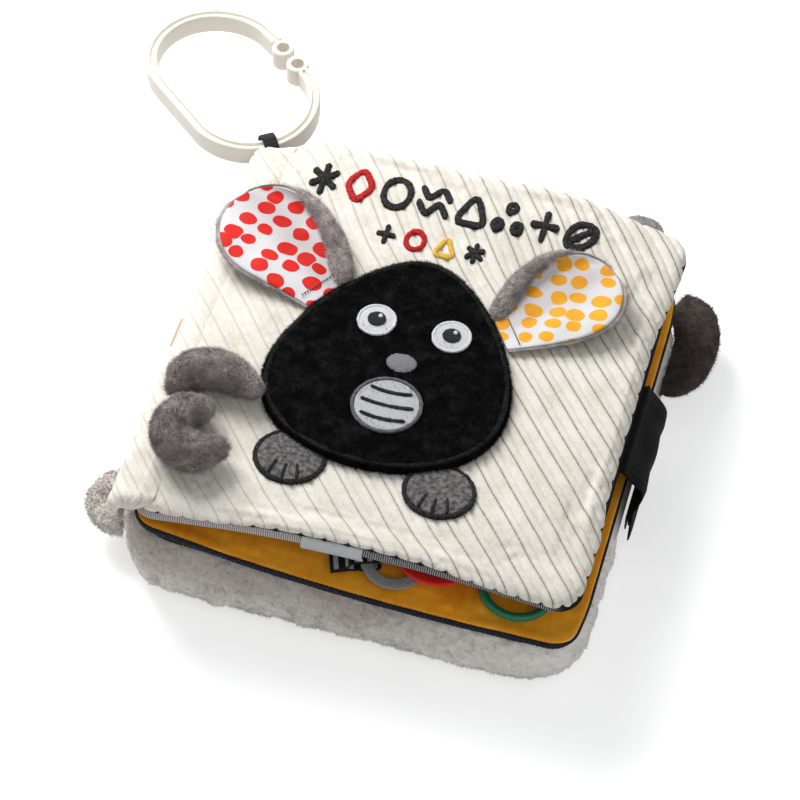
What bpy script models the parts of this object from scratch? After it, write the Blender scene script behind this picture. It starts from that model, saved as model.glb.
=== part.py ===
"""Soft cloth activity book for babies, lying closed on its back cover.

A fleece back cover, one velour page and a ribbed plush front cover share a cloth spine at -X.
+X runs from the spine to the fore edge, +Y from the bottom edge of the pages to the top edge,
+Z up.  The origin is under the middle of the pages, on the surface that the book lies on.
All lengths are in metres.
"""

import math

import bmesh
import bpy
from mathutils import Matrix, Vector

# Clearances between sewn layers and between neighbouring pieces
layer_gap = 0.0004
seat_gap = 0.0003
wadding_gap = 0.0008

# The two tilted leaves fall from the spine to the fore edge
leaf_fall = 0.014
leaf_run = 0.180
leaf_slope = leaf_fall / leaf_run

# Back cover: fleece outside, wadding, lining inside
back_width = 0.185
back_height = 0.193
back_centre_x = 0.0015
back_corner = 0.026
back_seam_z = 0.0283
fleece_pile = 0.007
back_edging_width = 0.0022
back_edging_height = 0.0014
back_lining_thickness = 0.0009
back_rim_inset = 0.005
# From the flat foot to the seam: inset and height, as shares of the rim inset and the seam's height
back_side_shares = [(2.8, 0.0), (1.3, 0.05), (0.3, 0.2), (0.0, 0.45), (0.3, 0.78), (1.0, 1.0)]
back_wall_inset = 0.0078
back_floor_inset = 0.0110

# Page: velour above, wadding and crinkle film inside, satin below
page_width = 0.173
page_end_margin = 0.0045
page_height = back_height - 2 * page_end_margin
page_centre_x = 0.004
page_corner = 0.010
page_mid_z = 0.0334
page_seam_inset = 0.0026
page_edging_width = 0.0022
page_edging_height = 0.0038
page_velour_rise = 0.0039
page_velour_thickness = 0.0015
page_backing_drop = 0.0041
page_backing_thickness = 0.0011
crinkle_thickness = 0.00035
crinkle_inset = 0.0064
page_crown_inset = 0.026
page_front_bulge = 0.0035

# Front cover: ribbed plush, wadding, striped lining
cover_width = 0.1722
cover_height = page_height
cover_centre_x = 0.0039
cover_corner = 0.011
cover_seam_z = 0.050
cover_rise = 0.0075
cover_drop = 0.0050
cover_plush_thickness = 0.0026
cover_lining_thickness = 0.0012
cover_seam_inset = 0.0014
cover_crown_inset = 0.020
cover_edging_width = 0.0016
cover_edging_height = 0.0014
# The toys under the front cover hold its front edge up and draw it back in the middle
cover_front_lift = 0.0055
cover_front_set_back = 0.0030
# The padding pushes the head of the front cover out and up, least at the fore corner
cover_head_bow = 0.0085
cover_head_lift = 0.0050
cover_head_spine_share = 0.15
cover_head_rise_share = 0.12
cover_head_fall_share = 0.30
rib_pitch = 0.00705
rib_depth = 0.0010
rib_angle = math.radians(-50.0)
rib_lowest_normal_share = -0.2

cover_top_z = cover_seam_z + cover_rise

# Hinge lines in the spine cloth
hinge_x = -0.0845
page_hinge_z = 0.0385
cover_hinge_z = 0.048

# Spine cloth between the leaves
spine_length = 0.176
spine_cloth = 0.0042
spine_outer_x = -0.0915
spine_seam_z = 0.0409

# Display size of the empties on the joints
empty_size = 0.010

# Resolution of outlines
corner_steps = 4
side_steps = 5


def linked(name):
    """A new collection in the scene."""
    collection = bpy.data.collections.new(name)
    bpy.context.scene.collection.children.link(collection)
    return collection


def plain_material(name, colour, roughness):
    """A Principled material with one plain colour, in linear RGB."""
    material = bpy.data.materials.new(name)
    material.use_nodes = True
    shader = material.node_tree.nodes["Principled BSDF"]
    shader.inputs["Base Color"].default_value = (*colour, 1.0)
    shader.inputs["Roughness"].default_value = roughness
    return material


def joint_empty(name, point, parent=None):
    """An empty on a joint's axis, which carries what turns there."""
    empty = bpy.data.objects.new(name, None)
    book.objects.link(empty)
    joint_points[empty.name] = Vector(point)
    if parent:
        empty.parent = parent
        empty.location = Vector(point) - joint_points[parent.name]
    else:
        empty.location = point
    empty.empty_display_size = empty_size
    return empty


def place(name, bm, material, joint=None, smooth=math.radians(40.0)):
    """Turn a bmesh in world coordinates into a named piece under its joint."""
    mesh = bpy.data.meshes.new(name)
    bm.to_mesh(mesh)
    bm.free()
    mesh.materials.append(material)
    mesh.shade_smooth()
    mesh.set_sharp_from_angle(angle=smooth)
    piece = bpy.data.objects.new(name, mesh)
    book.objects.link(piece)
    if joint:
        mesh.transform(Matrix.Translation(-joint_points[joint.name]))
        piece.parent = joint
    return piece


def cutter(name, bm, joint=None):
    """A hidden solid for a Boolean modifier."""
    mesh = bpy.data.meshes.new(name)
    bm.to_mesh(mesh)
    bm.free()
    tool = bpy.data.objects.new(name, mesh)
    cutters.objects.link(tool)
    if joint:
        mesh.transform(Matrix.Translation(-joint_points[joint.name]))
        tool.parent = joint
    tool.hide_render = True
    tool.display_type = "WIRE"
    return tool


def boolean(piece, tool, operation):
    """Cut or join a piece with a hidden solid."""
    modifier = piece.modifiers.new(operation.title(), "BOOLEAN")
    modifier.object = tool
    modifier.operation = operation
    modifier.solver = "EXACT"


def loft(loops, closed=False):
    """A solid through loops of points, capped at both ends or joined end to end."""
    bm = bmesh.new()
    rings = [[bm.verts.new(point) for point in loop] for loop in loops]
    count = len(rings[0])
    following = rings[1:] + rings[:1] if closed else rings[1:]
    for ring, onward in zip(rings, following):
        for i in range(count):
            j = (i + 1) % count
            bm.faces.new((ring[i], ring[j], onward[j], onward[i]))
    if not closed:
        bm.faces.new(list(reversed(rings[0])))
        bm.faces.new(rings[-1])
    bmesh.ops.recalc_face_normals(bm, faces=bm.faces)
    return bm


def rounded_rectangle(width, height, corner, centre_x, inset):
    """Points of a rectangle with round corners, drawn in by an inset, anticlockwise."""
    half_x = width / 2 - inset
    half_y = height / 2 - inset
    radius = max(corner - inset, corner / 4)
    turns = [(1, 1, 0.0), (-1, 1, 90.0), (-1, -1, 180.0), (1, -1, 270.0)]
    corners = []
    for sign_x, sign_y, start in turns:
        arc = []
        for step in range(corner_steps + 1):
            angle = math.radians(start + 90.0 * step / corner_steps)
            x = centre_x + sign_x * (half_x - radius) + radius * math.cos(angle)
            y = sign_y * (half_y - radius) + radius * math.sin(angle)
            arc.append((x, y))
        corners.append(arc)
    points = []
    for arc, onward in zip(corners, corners[1:] + corners[:1]):
        points += arc
        for step in range(1, side_steps + 1):
            share = step / (side_steps + 1)
            points.append((
                arc[-1][0] + share * (onward[0][0] - arc[-1][0]),
                arc[-1][1] + share * (onward[0][1] - arc[-1][1]),
            ))
    return points


def smooth_step(share):
    """0 to 1 with level ends."""
    share = min(max(share, 0.0), 1.0)
    return share * share * (3.0 - 2.0 * share)


def back_loop(inset, height_at):
    """A loop of the back cover with its height given at each x."""
    outline = rounded_rectangle(back_width, back_height, back_corner, back_centre_x, inset)
    return [(x, y, height_at(x)) for x, y in outline]


def front_share(x, y, width, height, centre_x, reach):
    """1 in the middle of a leaf's front edge, fading to 0 at its corners and inwards."""
    along = min(max((x - centre_x) / width + 0.5, 0), 1)
    depth = (reach - height / 2 - y) / reach
    return math.sin(math.pi * along) * smooth_step(depth)


def head_share(x, y):
    """1 along most of the front cover's head edge, fading to its corners and inwards."""
    along = min(max((x - cover_centre_x) / cover_width + 0.5, 0), 1)
    spine = cover_head_spine_share
    spine += (1 - cover_head_spine_share) * smooth_step(along / cover_head_rise_share)
    depth = (cover_crown_inset - cover_height / 2 + y) / cover_crown_inset
    return spine * smooth_step((1 - along) / cover_head_fall_share) * smooth_step(depth)


def page_loop(inset, offset):
    """A loop of the page, at an offset from its tilted middle plane."""
    outline = rounded_rectangle(page_width, page_height, page_corner, page_centre_x, inset)
    loop = []
    for x, y in outline:
        front = front_share(x, y, page_width, page_height, page_centre_x, page_crown_inset)
        loop.append((x, y - page_front_bulge * front, page_mid_z - leaf_slope * x + offset))
    return loop


def cover_loop(inset, offset):
    """A loop of the front cover while it is flat, at an offset from its seam."""
    outline = rounded_rectangle(cover_width, cover_height, cover_corner, cover_centre_x, inset)
    return [(x, y, cover_seam_z + offset) for x, y in outline]


def raise_ends(bm):
    """Move a flat piece of the front cover with its raised front edge and bowed head."""
    for vert in bm.verts:
        x, y, z = vert.co
        front = front_share(x, y, cover_width, cover_height, cover_centre_x, cover_crown_inset)
        head = head_share(x, y)
        vert.co.y += cover_front_set_back * front + cover_head_bow * head
        vert.co.z += cover_front_lift * front + cover_head_lift * head
    return bm


def back_seam(x):
    """Height of the back cover's seam, which falls towards the fore edge."""
    return back_seam_z - leaf_slope * x


def back_side_x():
    """The fore side of the back cover, where it bulges most."""
    return back_centre_x + back_width / 2


def back_spine_x():
    """The spine side of the back cover, where it bulges most."""
    return back_centre_x - back_width / 2


def back_side_inset(x, z):
    """How far the fleece's side is drawn in at a height, beside the seam at one x."""
    height = z / back_seam(x)
    for low, high in zip(back_side_shares, back_side_shares[1:]):
        if low[1] <= height <= high[1]:
            share = (height - low[1]) / (high[1] - low[1])
            return back_rim_inset * (low[0] + (high[0] - low[0]) * share)
    return back_rim_inset


def back_shoulder(x, inset):
    """Height of the fleece's upper shoulder at an inset from the back cover's outline."""
    low, high = back_side_shares[-2:]
    share = (inset / back_rim_inset - low[0]) / (high[0] - low[0])
    return back_seam(x) * (low[1] + (high[1] - low[1]) * share)


def corner_set_back(y):
    """How far the back cover's outline falls back from its side, at a place along its corners."""
    past = max(abs(y) - (back_height / 2 - back_corner), 0)
    return back_corner - math.sqrt(max(back_corner ** 2 - past ** 2, 0))


def page_top(x):
    """Height of the page's velour away from its edges."""
    return page_mid_z - leaf_slope * x + page_velour_rise


def make_back_cover():
    """The fleece tray, the wadding in it, and the lining and overlock on top."""
    outside = []
    for inset_share, height_share in back_side_shares:
        outside.append(back_loop(
            back_rim_inset * inset_share, lambda x, s=height_share: back_seam(x) * s))
    rim_inner = back_loop(back_wall_inset, back_seam)
    mouth = back_loop(back_wall_inset + layer_gap, lambda x: back_seam(x) - fleece_pile / 4)
    floor = back_loop(back_floor_inset, lambda x: fleece_pile)
    place("back_cover_fleece", loft(outside + [rim_inner, mouth, floor]), fleece)

    inner = back_wall_inset + 2 * layer_gap
    lining_low = -seat_gap
    wadding = [
        back_loop(back_floor_inset + layer_gap, lambda x: fleece_pile + layer_gap),
        back_loop(inner + layer_gap, lambda x: back_seam(x) - fleece_pile / 4),
        back_loop(inner, lambda x: back_seam(x) + lining_low - layer_gap),
    ]
    place("back_cover_wadding", loft(wadding), wadding_white)

    lining = [
        back_loop(back_wall_inset + layer_gap, lambda x: back_seam(x) + lining_low),
        back_loop(back_wall_inset + layer_gap,
                  lambda x: back_seam(x) + lining_low + back_lining_thickness),
    ]
    place("back_cover_lining", loft(lining), striped_cotton)

    low = layer_gap
    high = layer_gap + back_edging_height
    near = back_rim_inset + layer_gap
    far = near + back_edging_width
    edging = [
        back_loop(near, lambda x: back_seam(x) + low),
        back_loop(near, lambda x: back_seam(x) + (low + high) / 2),
        back_loop((near + far) / 2, lambda x: back_seam(x) + high),
        back_loop(far, lambda x: back_seam(x) + (low + high) / 2),
        back_loop(far, lambda x: back_seam(x) + low),
    ]
    place("back_cover_edging", loft(edging, closed=True), overlock_black)


def make_page():
    """Velour, wadding, crinkle film, satin backing and the thick sewn edge."""
    seam = page_seam_inset
    rise = page_velour_rise
    under = rise - page_velour_thickness
    crown = page_crown_inset
    shoulder = crown / 2
    wall = seam + page_velour_thickness
    velour = [
        page_loop(crown, under),
        page_loop(shoulder, under - layer_gap),
        page_loop(wall + 2 * layer_gap, under / 2),
        page_loop(wall, layer_gap),
        page_loop(seam, layer_gap),
        page_loop(seam, rise / 2),
        page_loop(seam + 6 * layer_gap, rise * 0.72),
        page_loop(shoulder, rise - layer_gap),
        page_loop(crown, rise),
    ]
    place("page_velour", loft(velour), velour_mustard, page_hinge)

    drop = page_backing_drop
    over = drop - page_backing_thickness
    film_high = over - 2 * layer_gap - crinkle_thickness / 2
    film_low = film_high + crinkle_thickness
    film_bend = page_velour_thickness / 2
    wad_top = under - layer_gap
    wad_low = film_high - layer_gap
    wad_edge = wall + layer_gap + layer_gap
    wadding = [
        page_loop(crown, -wad_low),
        page_loop(shoulder, layer_gap - wad_low),
        page_loop(wad_edge + 3 * layer_gap, film_bend - wad_low),
        page_loop(wad_edge, -layer_gap / 2),
        page_loop(wad_edge, seat_gap / 2),
        page_loop(wad_edge + 3 * layer_gap, wad_top / 2),
        page_loop(shoulder + layer_gap, wad_top - layer_gap),
        page_loop(crown, wad_top),
    ]
    place("page_wadding", loft(wadding), wadding_white, page_hinge)

    film = [
        page_loop(crown, -film_low),
        page_loop(shoulder, layer_gap - film_low),
        page_loop(crinkle_inset, film_bend - film_low),
        page_loop(crinkle_inset, film_bend - film_high),
        page_loop(shoulder, layer_gap - film_high),
        page_loop(crown, -film_high),
    ]
    place("page_crinkle_film", loft(film), crinkle_film, page_hinge)

    backing = [
        page_loop(crown, -drop),
        page_loop(shoulder, layer_gap - drop),
        page_loop(seam + 6 * layer_gap, -drop * 0.72),
        page_loop(seam, -drop / 2),
        page_loop(seam, -layer_gap),
        page_loop(wall, -layer_gap),
        page_loop(wall + 3 * layer_gap, film_bend - film_low - layer_gap),
        page_loop(shoulder, layer_gap - over),
        page_loop(crown, -over),
    ]
    place("page_backing", loft(backing), satin_black, page_hinge)

    half = page_edging_height / 2
    far = page_edging_width
    edging = [
        page_loop(far, half * 0.8),
        page_loop(far / 2, half),
        page_loop(0, half * 0.65),
        page_loop(0, -half * 0.65),
        page_loop(far / 2, -half),
        page_loop(far, -half * 0.8),
    ]
    place("page_edging", loft(edging, closed=True), overlock_navy, page_hinge)


def cut_ribs(bm):
    """Sew the diagonal channels into the upper side of the front cover's plush."""
    along = Vector((math.cos(rib_angle), math.sin(rib_angle), 0))
    across = Vector((-along.y, along.x, 0))
    upper = cover_seam_z + cover_rise / 4
    outer = [f for f in bm.faces if f.normal.z > 0 or f.calc_center_median().z > upper]
    outer = [f for f in outer if f.normal.z > rib_lowest_normal_share]
    reach = (cover_width + cover_height) / 2
    count = math.ceil(2 * reach / rib_pitch)
    for half_step in range(-count, count + 1):
        point = across * (half_step * rib_pitch / 2)
        faces = [f for f in outer if f.is_valid]
        edges = list({e for f in faces for e in f.edges})
        verts = list({v for f in faces for v in f.verts})
        cut = bmesh.ops.bisect_plane(
            bm, geom=verts + edges + faces, dist=seat_gap / 10, plane_co=point, plane_no=across)
        outer = list({g for g in cut["geom"] if isinstance(g, bmesh.types.BMFace)} | set(faces))
        outer = [f for f in outer if f.is_valid]
    upper_verts = {v for f in outer if f.is_valid for v in f.verts}
    for vert in upper_verts:
        height = (vert.co.z - cover_seam_z) / cover_rise
        if height < 0.3:
            continue
        phase = 2 * math.pi * vert.co.dot(across) / rib_pitch
        fade = smooth_step((height - 0.3) / 0.5)
        vert.co.z -= rib_depth * fade * (0.5 + 0.5 * math.cos(phase))


def make_front_cover():
    """The ribbed plush shell, its wadding, the striped lining and the overlocked seam."""
    seam = cover_seam_inset
    rise = cover_rise
    crown = cover_crown_inset
    shoulder = crown * 0.4
    wall = seam + cover_plush_thickness * 0.6
    under = rise - cover_plush_thickness
    foot = 1.5 * layer_gap
    shell = [
        cover_loop(crown, under),
        cover_loop(shoulder, under - seat_gap),
        cover_loop(wall + 3 * layer_gap, under * 0.7),
        cover_loop(wall, foot),
        cover_loop(seam, foot),
        cover_loop(0, rise * 0.40),
        cover_loop(seam * 0.5, rise * 0.68),
        cover_loop(seam * 2, rise * 0.88),
        cover_loop(shoulder, rise * 0.975),
        cover_loop(crown, rise),
    ]
    bm = loft(shell)
    cut_ribs(bm)
    place("front_cover_plush", raise_ends(bm), plush_cream, cover_hinge, smooth=math.radians(70.0))

    drop = cover_drop
    over = drop - cover_lining_thickness
    wad_edge = wall + 1.5 * layer_gap
    wadding = [
        cover_loop(crown, wadding_gap - over),
        cover_loop(crown / 2, seat_gap + wadding_gap - over),
        cover_loop(wad_edge + 4 * layer_gap, -over * 0.42),
        cover_loop(wad_edge, -seat_gap),
        cover_loop(wad_edge, seat_gap),
        cover_loop(wad_edge + 3 * layer_gap, under * 0.62),
        cover_loop(shoulder + layer_gap, under - seat_gap - wadding_gap),
        cover_loop(crown, under - wadding_gap),
    ]
    place("front_cover_wadding", raise_ends(loft(wadding)), wadding_white, cover_hinge)

    rim = seam + seat_gap
    lining = [
        cover_loop(crown, -over),
        cover_loop(crown / 2, seat_gap - over),
        cover_loop(wad_edge + 2 * layer_gap, -over * 0.56),
        cover_loop(wad_edge - layer_gap, -2 * layer_gap),
        cover_loop(rim, -seat_gap),
        cover_loop(rim, -3 * layer_gap),
        cover_loop(wad_edge + layer_gap, -drop * 0.62),
        cover_loop(crown / 2, layer_gap - drop),
        cover_loop(crown, -drop),
    ]
    place("front_cover_lining", raise_ends(loft(lining)), striped_cotton, cover_hinge)

    near = seam - seat_gap
    far = near - cover_edging_width
    edging = [
        cover_loop(near, 0),
        cover_loop(far, 0),
        cover_loop(far - layer_gap, -cover_edging_height / 2),
        cover_loop(far, -cover_edging_height),
        cover_loop(near, -cover_edging_height),
    ]
    bm = raise_ends(loft(edging, closed=True))
    place("front_cover_edging", bm, overlock_black, cover_hinge)


def extrude_along_y(section, half_length, bevel):
    """A solid with one cross-section in the XZ plane, with drawn-in ends."""
    centre_x = sum(x for x, z in section) / len(section)
    centre_z = sum(z for x, z in section) / len(section)
    loops = []
    for y, share in [(-half_length, 0.72), (bevel - half_length, 1.0),
                     (half_length - bevel, 1.0), (half_length, 0.72)]:
        loops.append([
            (centre_x + (x - centre_x) * share, y, centre_z + (z - centre_z) * share)
            for x, z in section
        ])
    return loft(loops)


def make_spine():
    """The spine cloth: fleece up to the page, and cream plush from there over the front cover."""
    half = spine_length / 2
    outer = spine_outer_x
    inner = outer + spine_cloth
    low = back_seam(hinge_x) + 2 * layer_gap
    high = spine_seam_z - layer_gap
    fleece_strip = [(outer, low), (inner, low), (inner + layer_gap, high), (outer, high)]
    place("spine_fleece_strip", extrude_along_y(fleece_strip, half, spine_cloth),
          fleece, page_hinge)

    start = cover_centre_x - cover_width / 2 - layer_gap
    foot = spine_seam_z
    turn = cover_top_z - cover_rise
    bend = spine_cloth * 1.4
    cream_strip = [
        (outer + layer_gap, foot), (inner + layer_gap, foot), (inner, turn - layer_gap),
        (inner + layer_gap, turn + cover_rise * 0.25), (start, turn + cover_rise * 0.45),
        (start, cover_top_z - layer_gap), (start - bend * 0.5, cover_top_z - seat_gap),
        (outer + bend * 0.28, turn + cover_rise * 0.72), (outer, turn + cover_rise * 0.25),
    ]
    place("spine_cream_strip", extrude_along_y(cream_strip, half, spine_cloth),
          plush_cream, cover_hinge)


# Padded patch on the front cover: an egg-shaped animal body
patch_half_width = 0.046
patch_half_height = 0.052
patch_centre = (-0.003, -0.004)
patch_taper = 0.32
patch_thickness = 0.0046
patch_points = 36
patch_top_z = cover_top_z + seat_gap + patch_thickness
eye_radius = 0.0075
pupil_radius = 0.0034
thread_height = 0.0008
eye_spacing = 0.030
eye_y = 0.012
nose_half_width = 0.0062
nose_half_height = 0.0046
nose_y = -0.006
belly_half_width = 0.0135
belly_half_height = 0.0130
belly_y = -0.027
paw_half_width = 0.0135
paw_half_height = 0.0120
paw_spacing = 0.058
paw_y = -0.0575
paw_thickness = 0.0022


def oval(centre, half_width, half_height, count, taper=0.0):
    """An oval outline, narrower towards +Y when tapered."""
    points = []
    for i in range(count):
        angle = 2 * math.pi * i / count
        width = half_width * (1.0 - taper * math.sin(angle))
        points.append((centre[0] + width * math.cos(angle),
                       centre[1] + half_height * math.sin(angle)))
    return points


def pad(outline, rows):
    """A padded solid: the outline at several heights, each scaled towards its middle."""
    middle_x = sum(x for x, y in outline) / len(outline)
    middle_y = sum(y for x, y in outline) / len(outline)
    loops = []
    for share, z in rows:
        loops.append([
            (middle_x + (x - middle_x) * share, middle_y + (y - middle_y) * share, z)
            for x, y in outline
        ])
    return loft(loops)


def make_patch():
    """The black animal body, its face and belly, and the two paws under its hem."""
    base = cover_top_z + seat_gap
    outline = oval(patch_centre, patch_half_width, patch_half_height, patch_points, patch_taper)
    shares = [(0.985, 0.0), (1.0, 0.22), (0.985, 0.55), (0.93, 0.82), (0.78, 1.0)]
    rows = [(share, base + patch_thickness * height) for share, height in shares]
    place("body_patch", pad(outline, rows), plush_black, cover_hinge)

    thread_base = patch_top_z + seat_gap
    thread_top = thread_base + thread_height
    pupil_top = thread_top + seat_gap + thread_height / 2
    for side, sign in [("left", -1), ("right", 1)]:
        centre = (sign * eye_spacing / 2, eye_y)
        disc = oval(centre, eye_radius, eye_radius, 20)
        place(f"eye_{side}", pad(disc, [(1.0, thread_base), (0.94, thread_top)]),
              thread_white, cover_hinge)
        disc = oval(centre, pupil_radius, pupil_radius, 14)
        place(f"pupil_{side}", pad(disc, [(1.0, thread_top + seat_gap), (0.9, pupil_top)]),
              thread_black, cover_hinge)
    disc = oval((0, nose_y), nose_half_width, nose_half_height, 18)
    place("nose", pad(disc, [(1.0, thread_base), (0.92, thread_top)]), thread_grey, cover_hinge)
    disc = oval((0, belly_y), belly_half_width, belly_half_height, 24)
    place("belly_patch", pad(disc, [(1.0, thread_base), (0.96, thread_top)]),
          thread_pale, cover_hinge)

    hem = [(1.0 + seat_gap / patch_half_width, base - patch_thickness),
           (1.0 + seat_gap / patch_half_width, base + 2 * patch_thickness)]
    body_tool = cutter("body_patch_cutter", pad(outline, hem), cover_hinge)
    for side, sign in [("left", -1), ("right", 1)]:
        centre = (sign * paw_spacing / 2, paw_y)
        shape = oval(centre, paw_half_width, paw_half_height, 22)
        rows = [(0.97, base), (1.0, base + paw_thickness * 0.4), (0.9, base + paw_thickness)]
        paw = place(f"paw_{side}", raise_ends(pad(shape, rows)), plush_grey_pale, cover_hinge)
        boolean(paw, body_tool, "DIFFERENCE")


# Ears: flaps of grey plush with a spotted lining, the inner long edge rolled over
ear_length = 0.054
ear_root_half_width = 0.0100
ear_half_width = 0.0205
ear_widest_share = 0.62
ear_plush_thickness = 0.0022
ear_lining_thickness = 0.0009
ear_root_thickness_share = 0.35
ear_lift = math.radians(5.0)
ear_roll_radius = 0.0034
ear_roll_start_share = 0.42
ear_station_shares = [0, 0.07, 0.14, 0.21, 0.29, 0.38, 0.5, 0.62, 0.75, 0.86, 0.94, 0.985]
ear_fill_share = 0.42
ear_flattest_roll_share = 0.1
ear_flat_steps = 4
ear_roll_steps = 8
ear_root_gap = 0.0008
ear_turn = math.radians(30.0)
ear_root_z = cover_top_z + seat_gap + ear_plush_thickness


def patch_edge(turn):
    """A point on the body patch's hem and the direction that its outline faces there."""
    width = patch_half_width * (1.0 - patch_taper * math.sin(turn))
    point = (patch_centre[0] + width * math.cos(turn),
             patch_centre[1] + patch_half_height * math.sin(turn))
    run_x = -width * math.sin(turn) - patch_half_width * patch_taper * math.cos(turn) ** 2
    run_y = patch_half_height * math.cos(turn)
    return point, math.atan2(-run_x, run_y)


def ear_root(turn):
    """Where an ear is sewn beside the hem, and the direction it points in."""
    point, angle = patch_edge(turn)
    return (point[0] + ear_root_gap * math.cos(angle),
            point[1] + ear_root_gap * math.sin(angle)), angle


def ear_half_width_at(share):
    """Half width of an ear at a share of its length."""
    if share < ear_widest_share:
        swell = smooth_step(0.15 + 0.85 * share / ear_widest_share)
        return ear_root_half_width + (ear_half_width - ear_root_half_width) * swell
    past = (share - ear_widest_share) / (1.0 - ear_widest_share)
    return ear_half_width * math.sqrt(max(1.0 - past * past, 0.0))


def ear_sections(root, angle, roll_sign, low, high):
    """Cross-sections of one layer of an ear between two offsets from its middle surface."""
    along = Vector((math.cos(angle) * math.cos(ear_lift),
                    math.sin(angle) * math.cos(ear_lift), math.sin(ear_lift)))
    aside = Vector((-math.sin(angle), math.cos(angle), 0)) * roll_sign
    up = along.cross(aside) * roll_sign
    start = Vector((root[0], root[1], ear_root_z))
    shares = [-1.0 + (1.0 + ear_roll_start_share) * i / ear_flat_steps
              for i in range(ear_flat_steps)]
    shares += [ear_roll_start_share + (1.0 - ear_roll_start_share) * i / ear_roll_steps
               for i in range(ear_roll_steps + 1)]
    sections = []
    for share in ear_station_shares:
        half_width = ear_half_width_at(share)
        root_share = smooth_step(share / ear_fill_share)
        thin = ear_root_thickness_share + (1.0 - ear_root_thickness_share) * root_share
        radius = ear_roll_radius / max(root_share, ear_flattest_roll_share)
        centre = start + along * (ear_length * share)
        rolled = []
        for across_share in shares:
            run = min(across_share, ear_roll_start_share) * half_width
            turned = max(across_share - ear_roll_start_share, 0) * half_width / radius
            run += radius * math.sin(turned)
            height = radius * (1.0 - math.cos(turned))
            normal = up * math.cos(turned) - aside * math.sin(turned)
            edge = 1.0 - 0.55 * across_share ** 6
            rolled.append((centre + aside * run + up * height, normal, edge * thin))
        loop = [p + n * low * t for p, n, t in rolled]
        loop += [p + n * high * t for p, n, t in reversed(rolled)]
        sections.append(loop)
    return sections


def make_ears():
    """Both ears, each with plush outside and a spotted lining."""
    for side, turn, sign, joint, lining in [
            ("left", math.pi - ear_turn, -1, left_ear_hinge, cotton_red_spots),
            ("right", ear_turn, 1, right_ear_hinge, cotton_yellow_spots)]:
        root, angle = ear_root(turn)
        plush_layer = ear_sections(root, angle, sign, -ear_plush_thickness, -layer_gap)
        place(f"{side}_ear_plush", loft(plush_layer), plush_grey, joint)
        spotted = ear_sections(root, angle, sign, layer_gap, ear_lining_thickness + layer_gap)
        place(f"{side}_ear_lining", loft(spotted), lining, joint)


# Tail: one stuffed arm that bends over the ribs, and its curled end
tail_radius = 0.0078
tail_span = 0.030
tail_root = (-0.0500, -0.0345)
tail_arm_shares = [
    (0.0, -0.05), (-0.20, 0.04), (-0.46, 0.11), (-0.71, 0.07), (-0.88, -0.08), (-0.93, -0.25),
]
tail_arm_swell_shares = [0.58, 0.86, 1.0, 1.02, 0.92, 0.62]
tail_curl_shares = [
    (-0.54, -0.56), (-0.70, -0.67), (-0.77, -0.86), (-0.72, -1.07),
    (-0.55, -1.20), (-0.35, -1.21), (-0.17, -1.10),
]
tail_curl_swell_shares = [0.72, 0.98, 1.08, 1.08, 1.02, 0.94, 0.66]
tail_sides = 12
tail_steps = 3
tail_cap_steps = 3


def smooth_route(points, steps):
    """Points along a Catmull-Rom curve through the route's own points, with their run numbers."""
    fine = []
    for i in range(len(points) - 1):
        before = points[max(i - 1, 0)]
        here = points[i]
        ahead = points[i + 1]
        beyond = points[min(i + 2, len(points) - 1)]
        for step in range(steps):
            t = step / steps
            position = 0.5 * (
                2 * here + (ahead - before) * t
                + (2 * before - 5 * here + 4 * ahead - beyond) * t ** 2
                + (3 * here - before - 3 * ahead + beyond) * t ** 3)
            fine.append((position, i + t))
    fine.append((points[-1], len(points) - 1))
    return fine


def value_along(shares, run):
    """A value read between two neighbours of a list, with a smooth change."""
    low = min(int(run), len(shares) - 2)
    return shares[low] + (shares[low + 1] - shares[low]) * smooth_step(run - low)


def stuffed_limb(points, swell_shares, radius):
    """Rings along a smooth route that swell and taper, with a rounded end at each side."""
    fine = smooth_route(points, tail_steps)
    loops = []
    for i, (position, run) in enumerate(fine):
        onward = fine[min(i + 1, len(fine) - 1)][0]
        backward = fine[max(i - 1, 0)][0]
        tangent = (onward - backward).normalized()
        aside = Vector((-tangent.y, tangent.x, 0)).normalized()
        up = tangent.cross(aside)
        size = radius * value_along(swell_shares, run)
        spokes = []
        for k in range(tail_sides):
            turn = 2 * math.pi * k / tail_sides
            spokes.append(aside * (size * math.cos(turn)) + up * (size * math.sin(turn)))
        ring = [position + spoke for spoke in spokes]
        if 0 < i < len(fine) - 1:
            loops.append(ring)
            continue
        outward = tangent if i else -tangent
        cap = []
        for step in range(1, tail_cap_steps + 1):
            turn = math.pi / 2 * step / (tail_cap_steps + 1)
            middle = position + outward * (size * math.sin(turn))
            cap.append([middle + spoke * math.cos(turn) for spoke in spokes])
        loops += [ring] + cap if i else list(reversed(cap)) + [ring]
    return loops


def make_tail():
    """The stuffed tail: an arm from the patch's hem and a curled end that lies against it."""
    z = cover_top_z + seat_gap + tail_radius * max(tail_curl_swell_shares)
    for name, shares, swell_shares in [
            ("tail_arm", tail_arm_shares, tail_arm_swell_shares),
            ("tail_curl", tail_curl_shares, tail_curl_swell_shares)]:
        points = [Vector((tail_root[0] + x * tail_span, tail_root[1] + y * tail_span, z))
                  for x, y in shares]
        place(name, loft(stuffed_limb(points, swell_shares, tail_radius)), plush_grey, tail_hinge)


# Closing strap, sewn under the front cover's fore edge, and its hook-and-loop patches
strap_width = 0.044
strap_thickness = 0.0014
strap_centre_y = -0.001
strap_start_z = 0.0494
strap_bulge = 0.0062
strap_tip_z = 0.0065
strap_steps = 10
patch_thread = 0.0006
loop_patch_width = 0.034
loop_patch_low_z = 0.0075
loop_patch_high_z = 0.0150
hook_patch_width = 0.030
strap_start_x = (cover_centre_x + cover_width / 2 - cover_seam_inset + cover_edging_width
                 + layer_gap + 2 * seat_gap + strap_thickness / 2)


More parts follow.
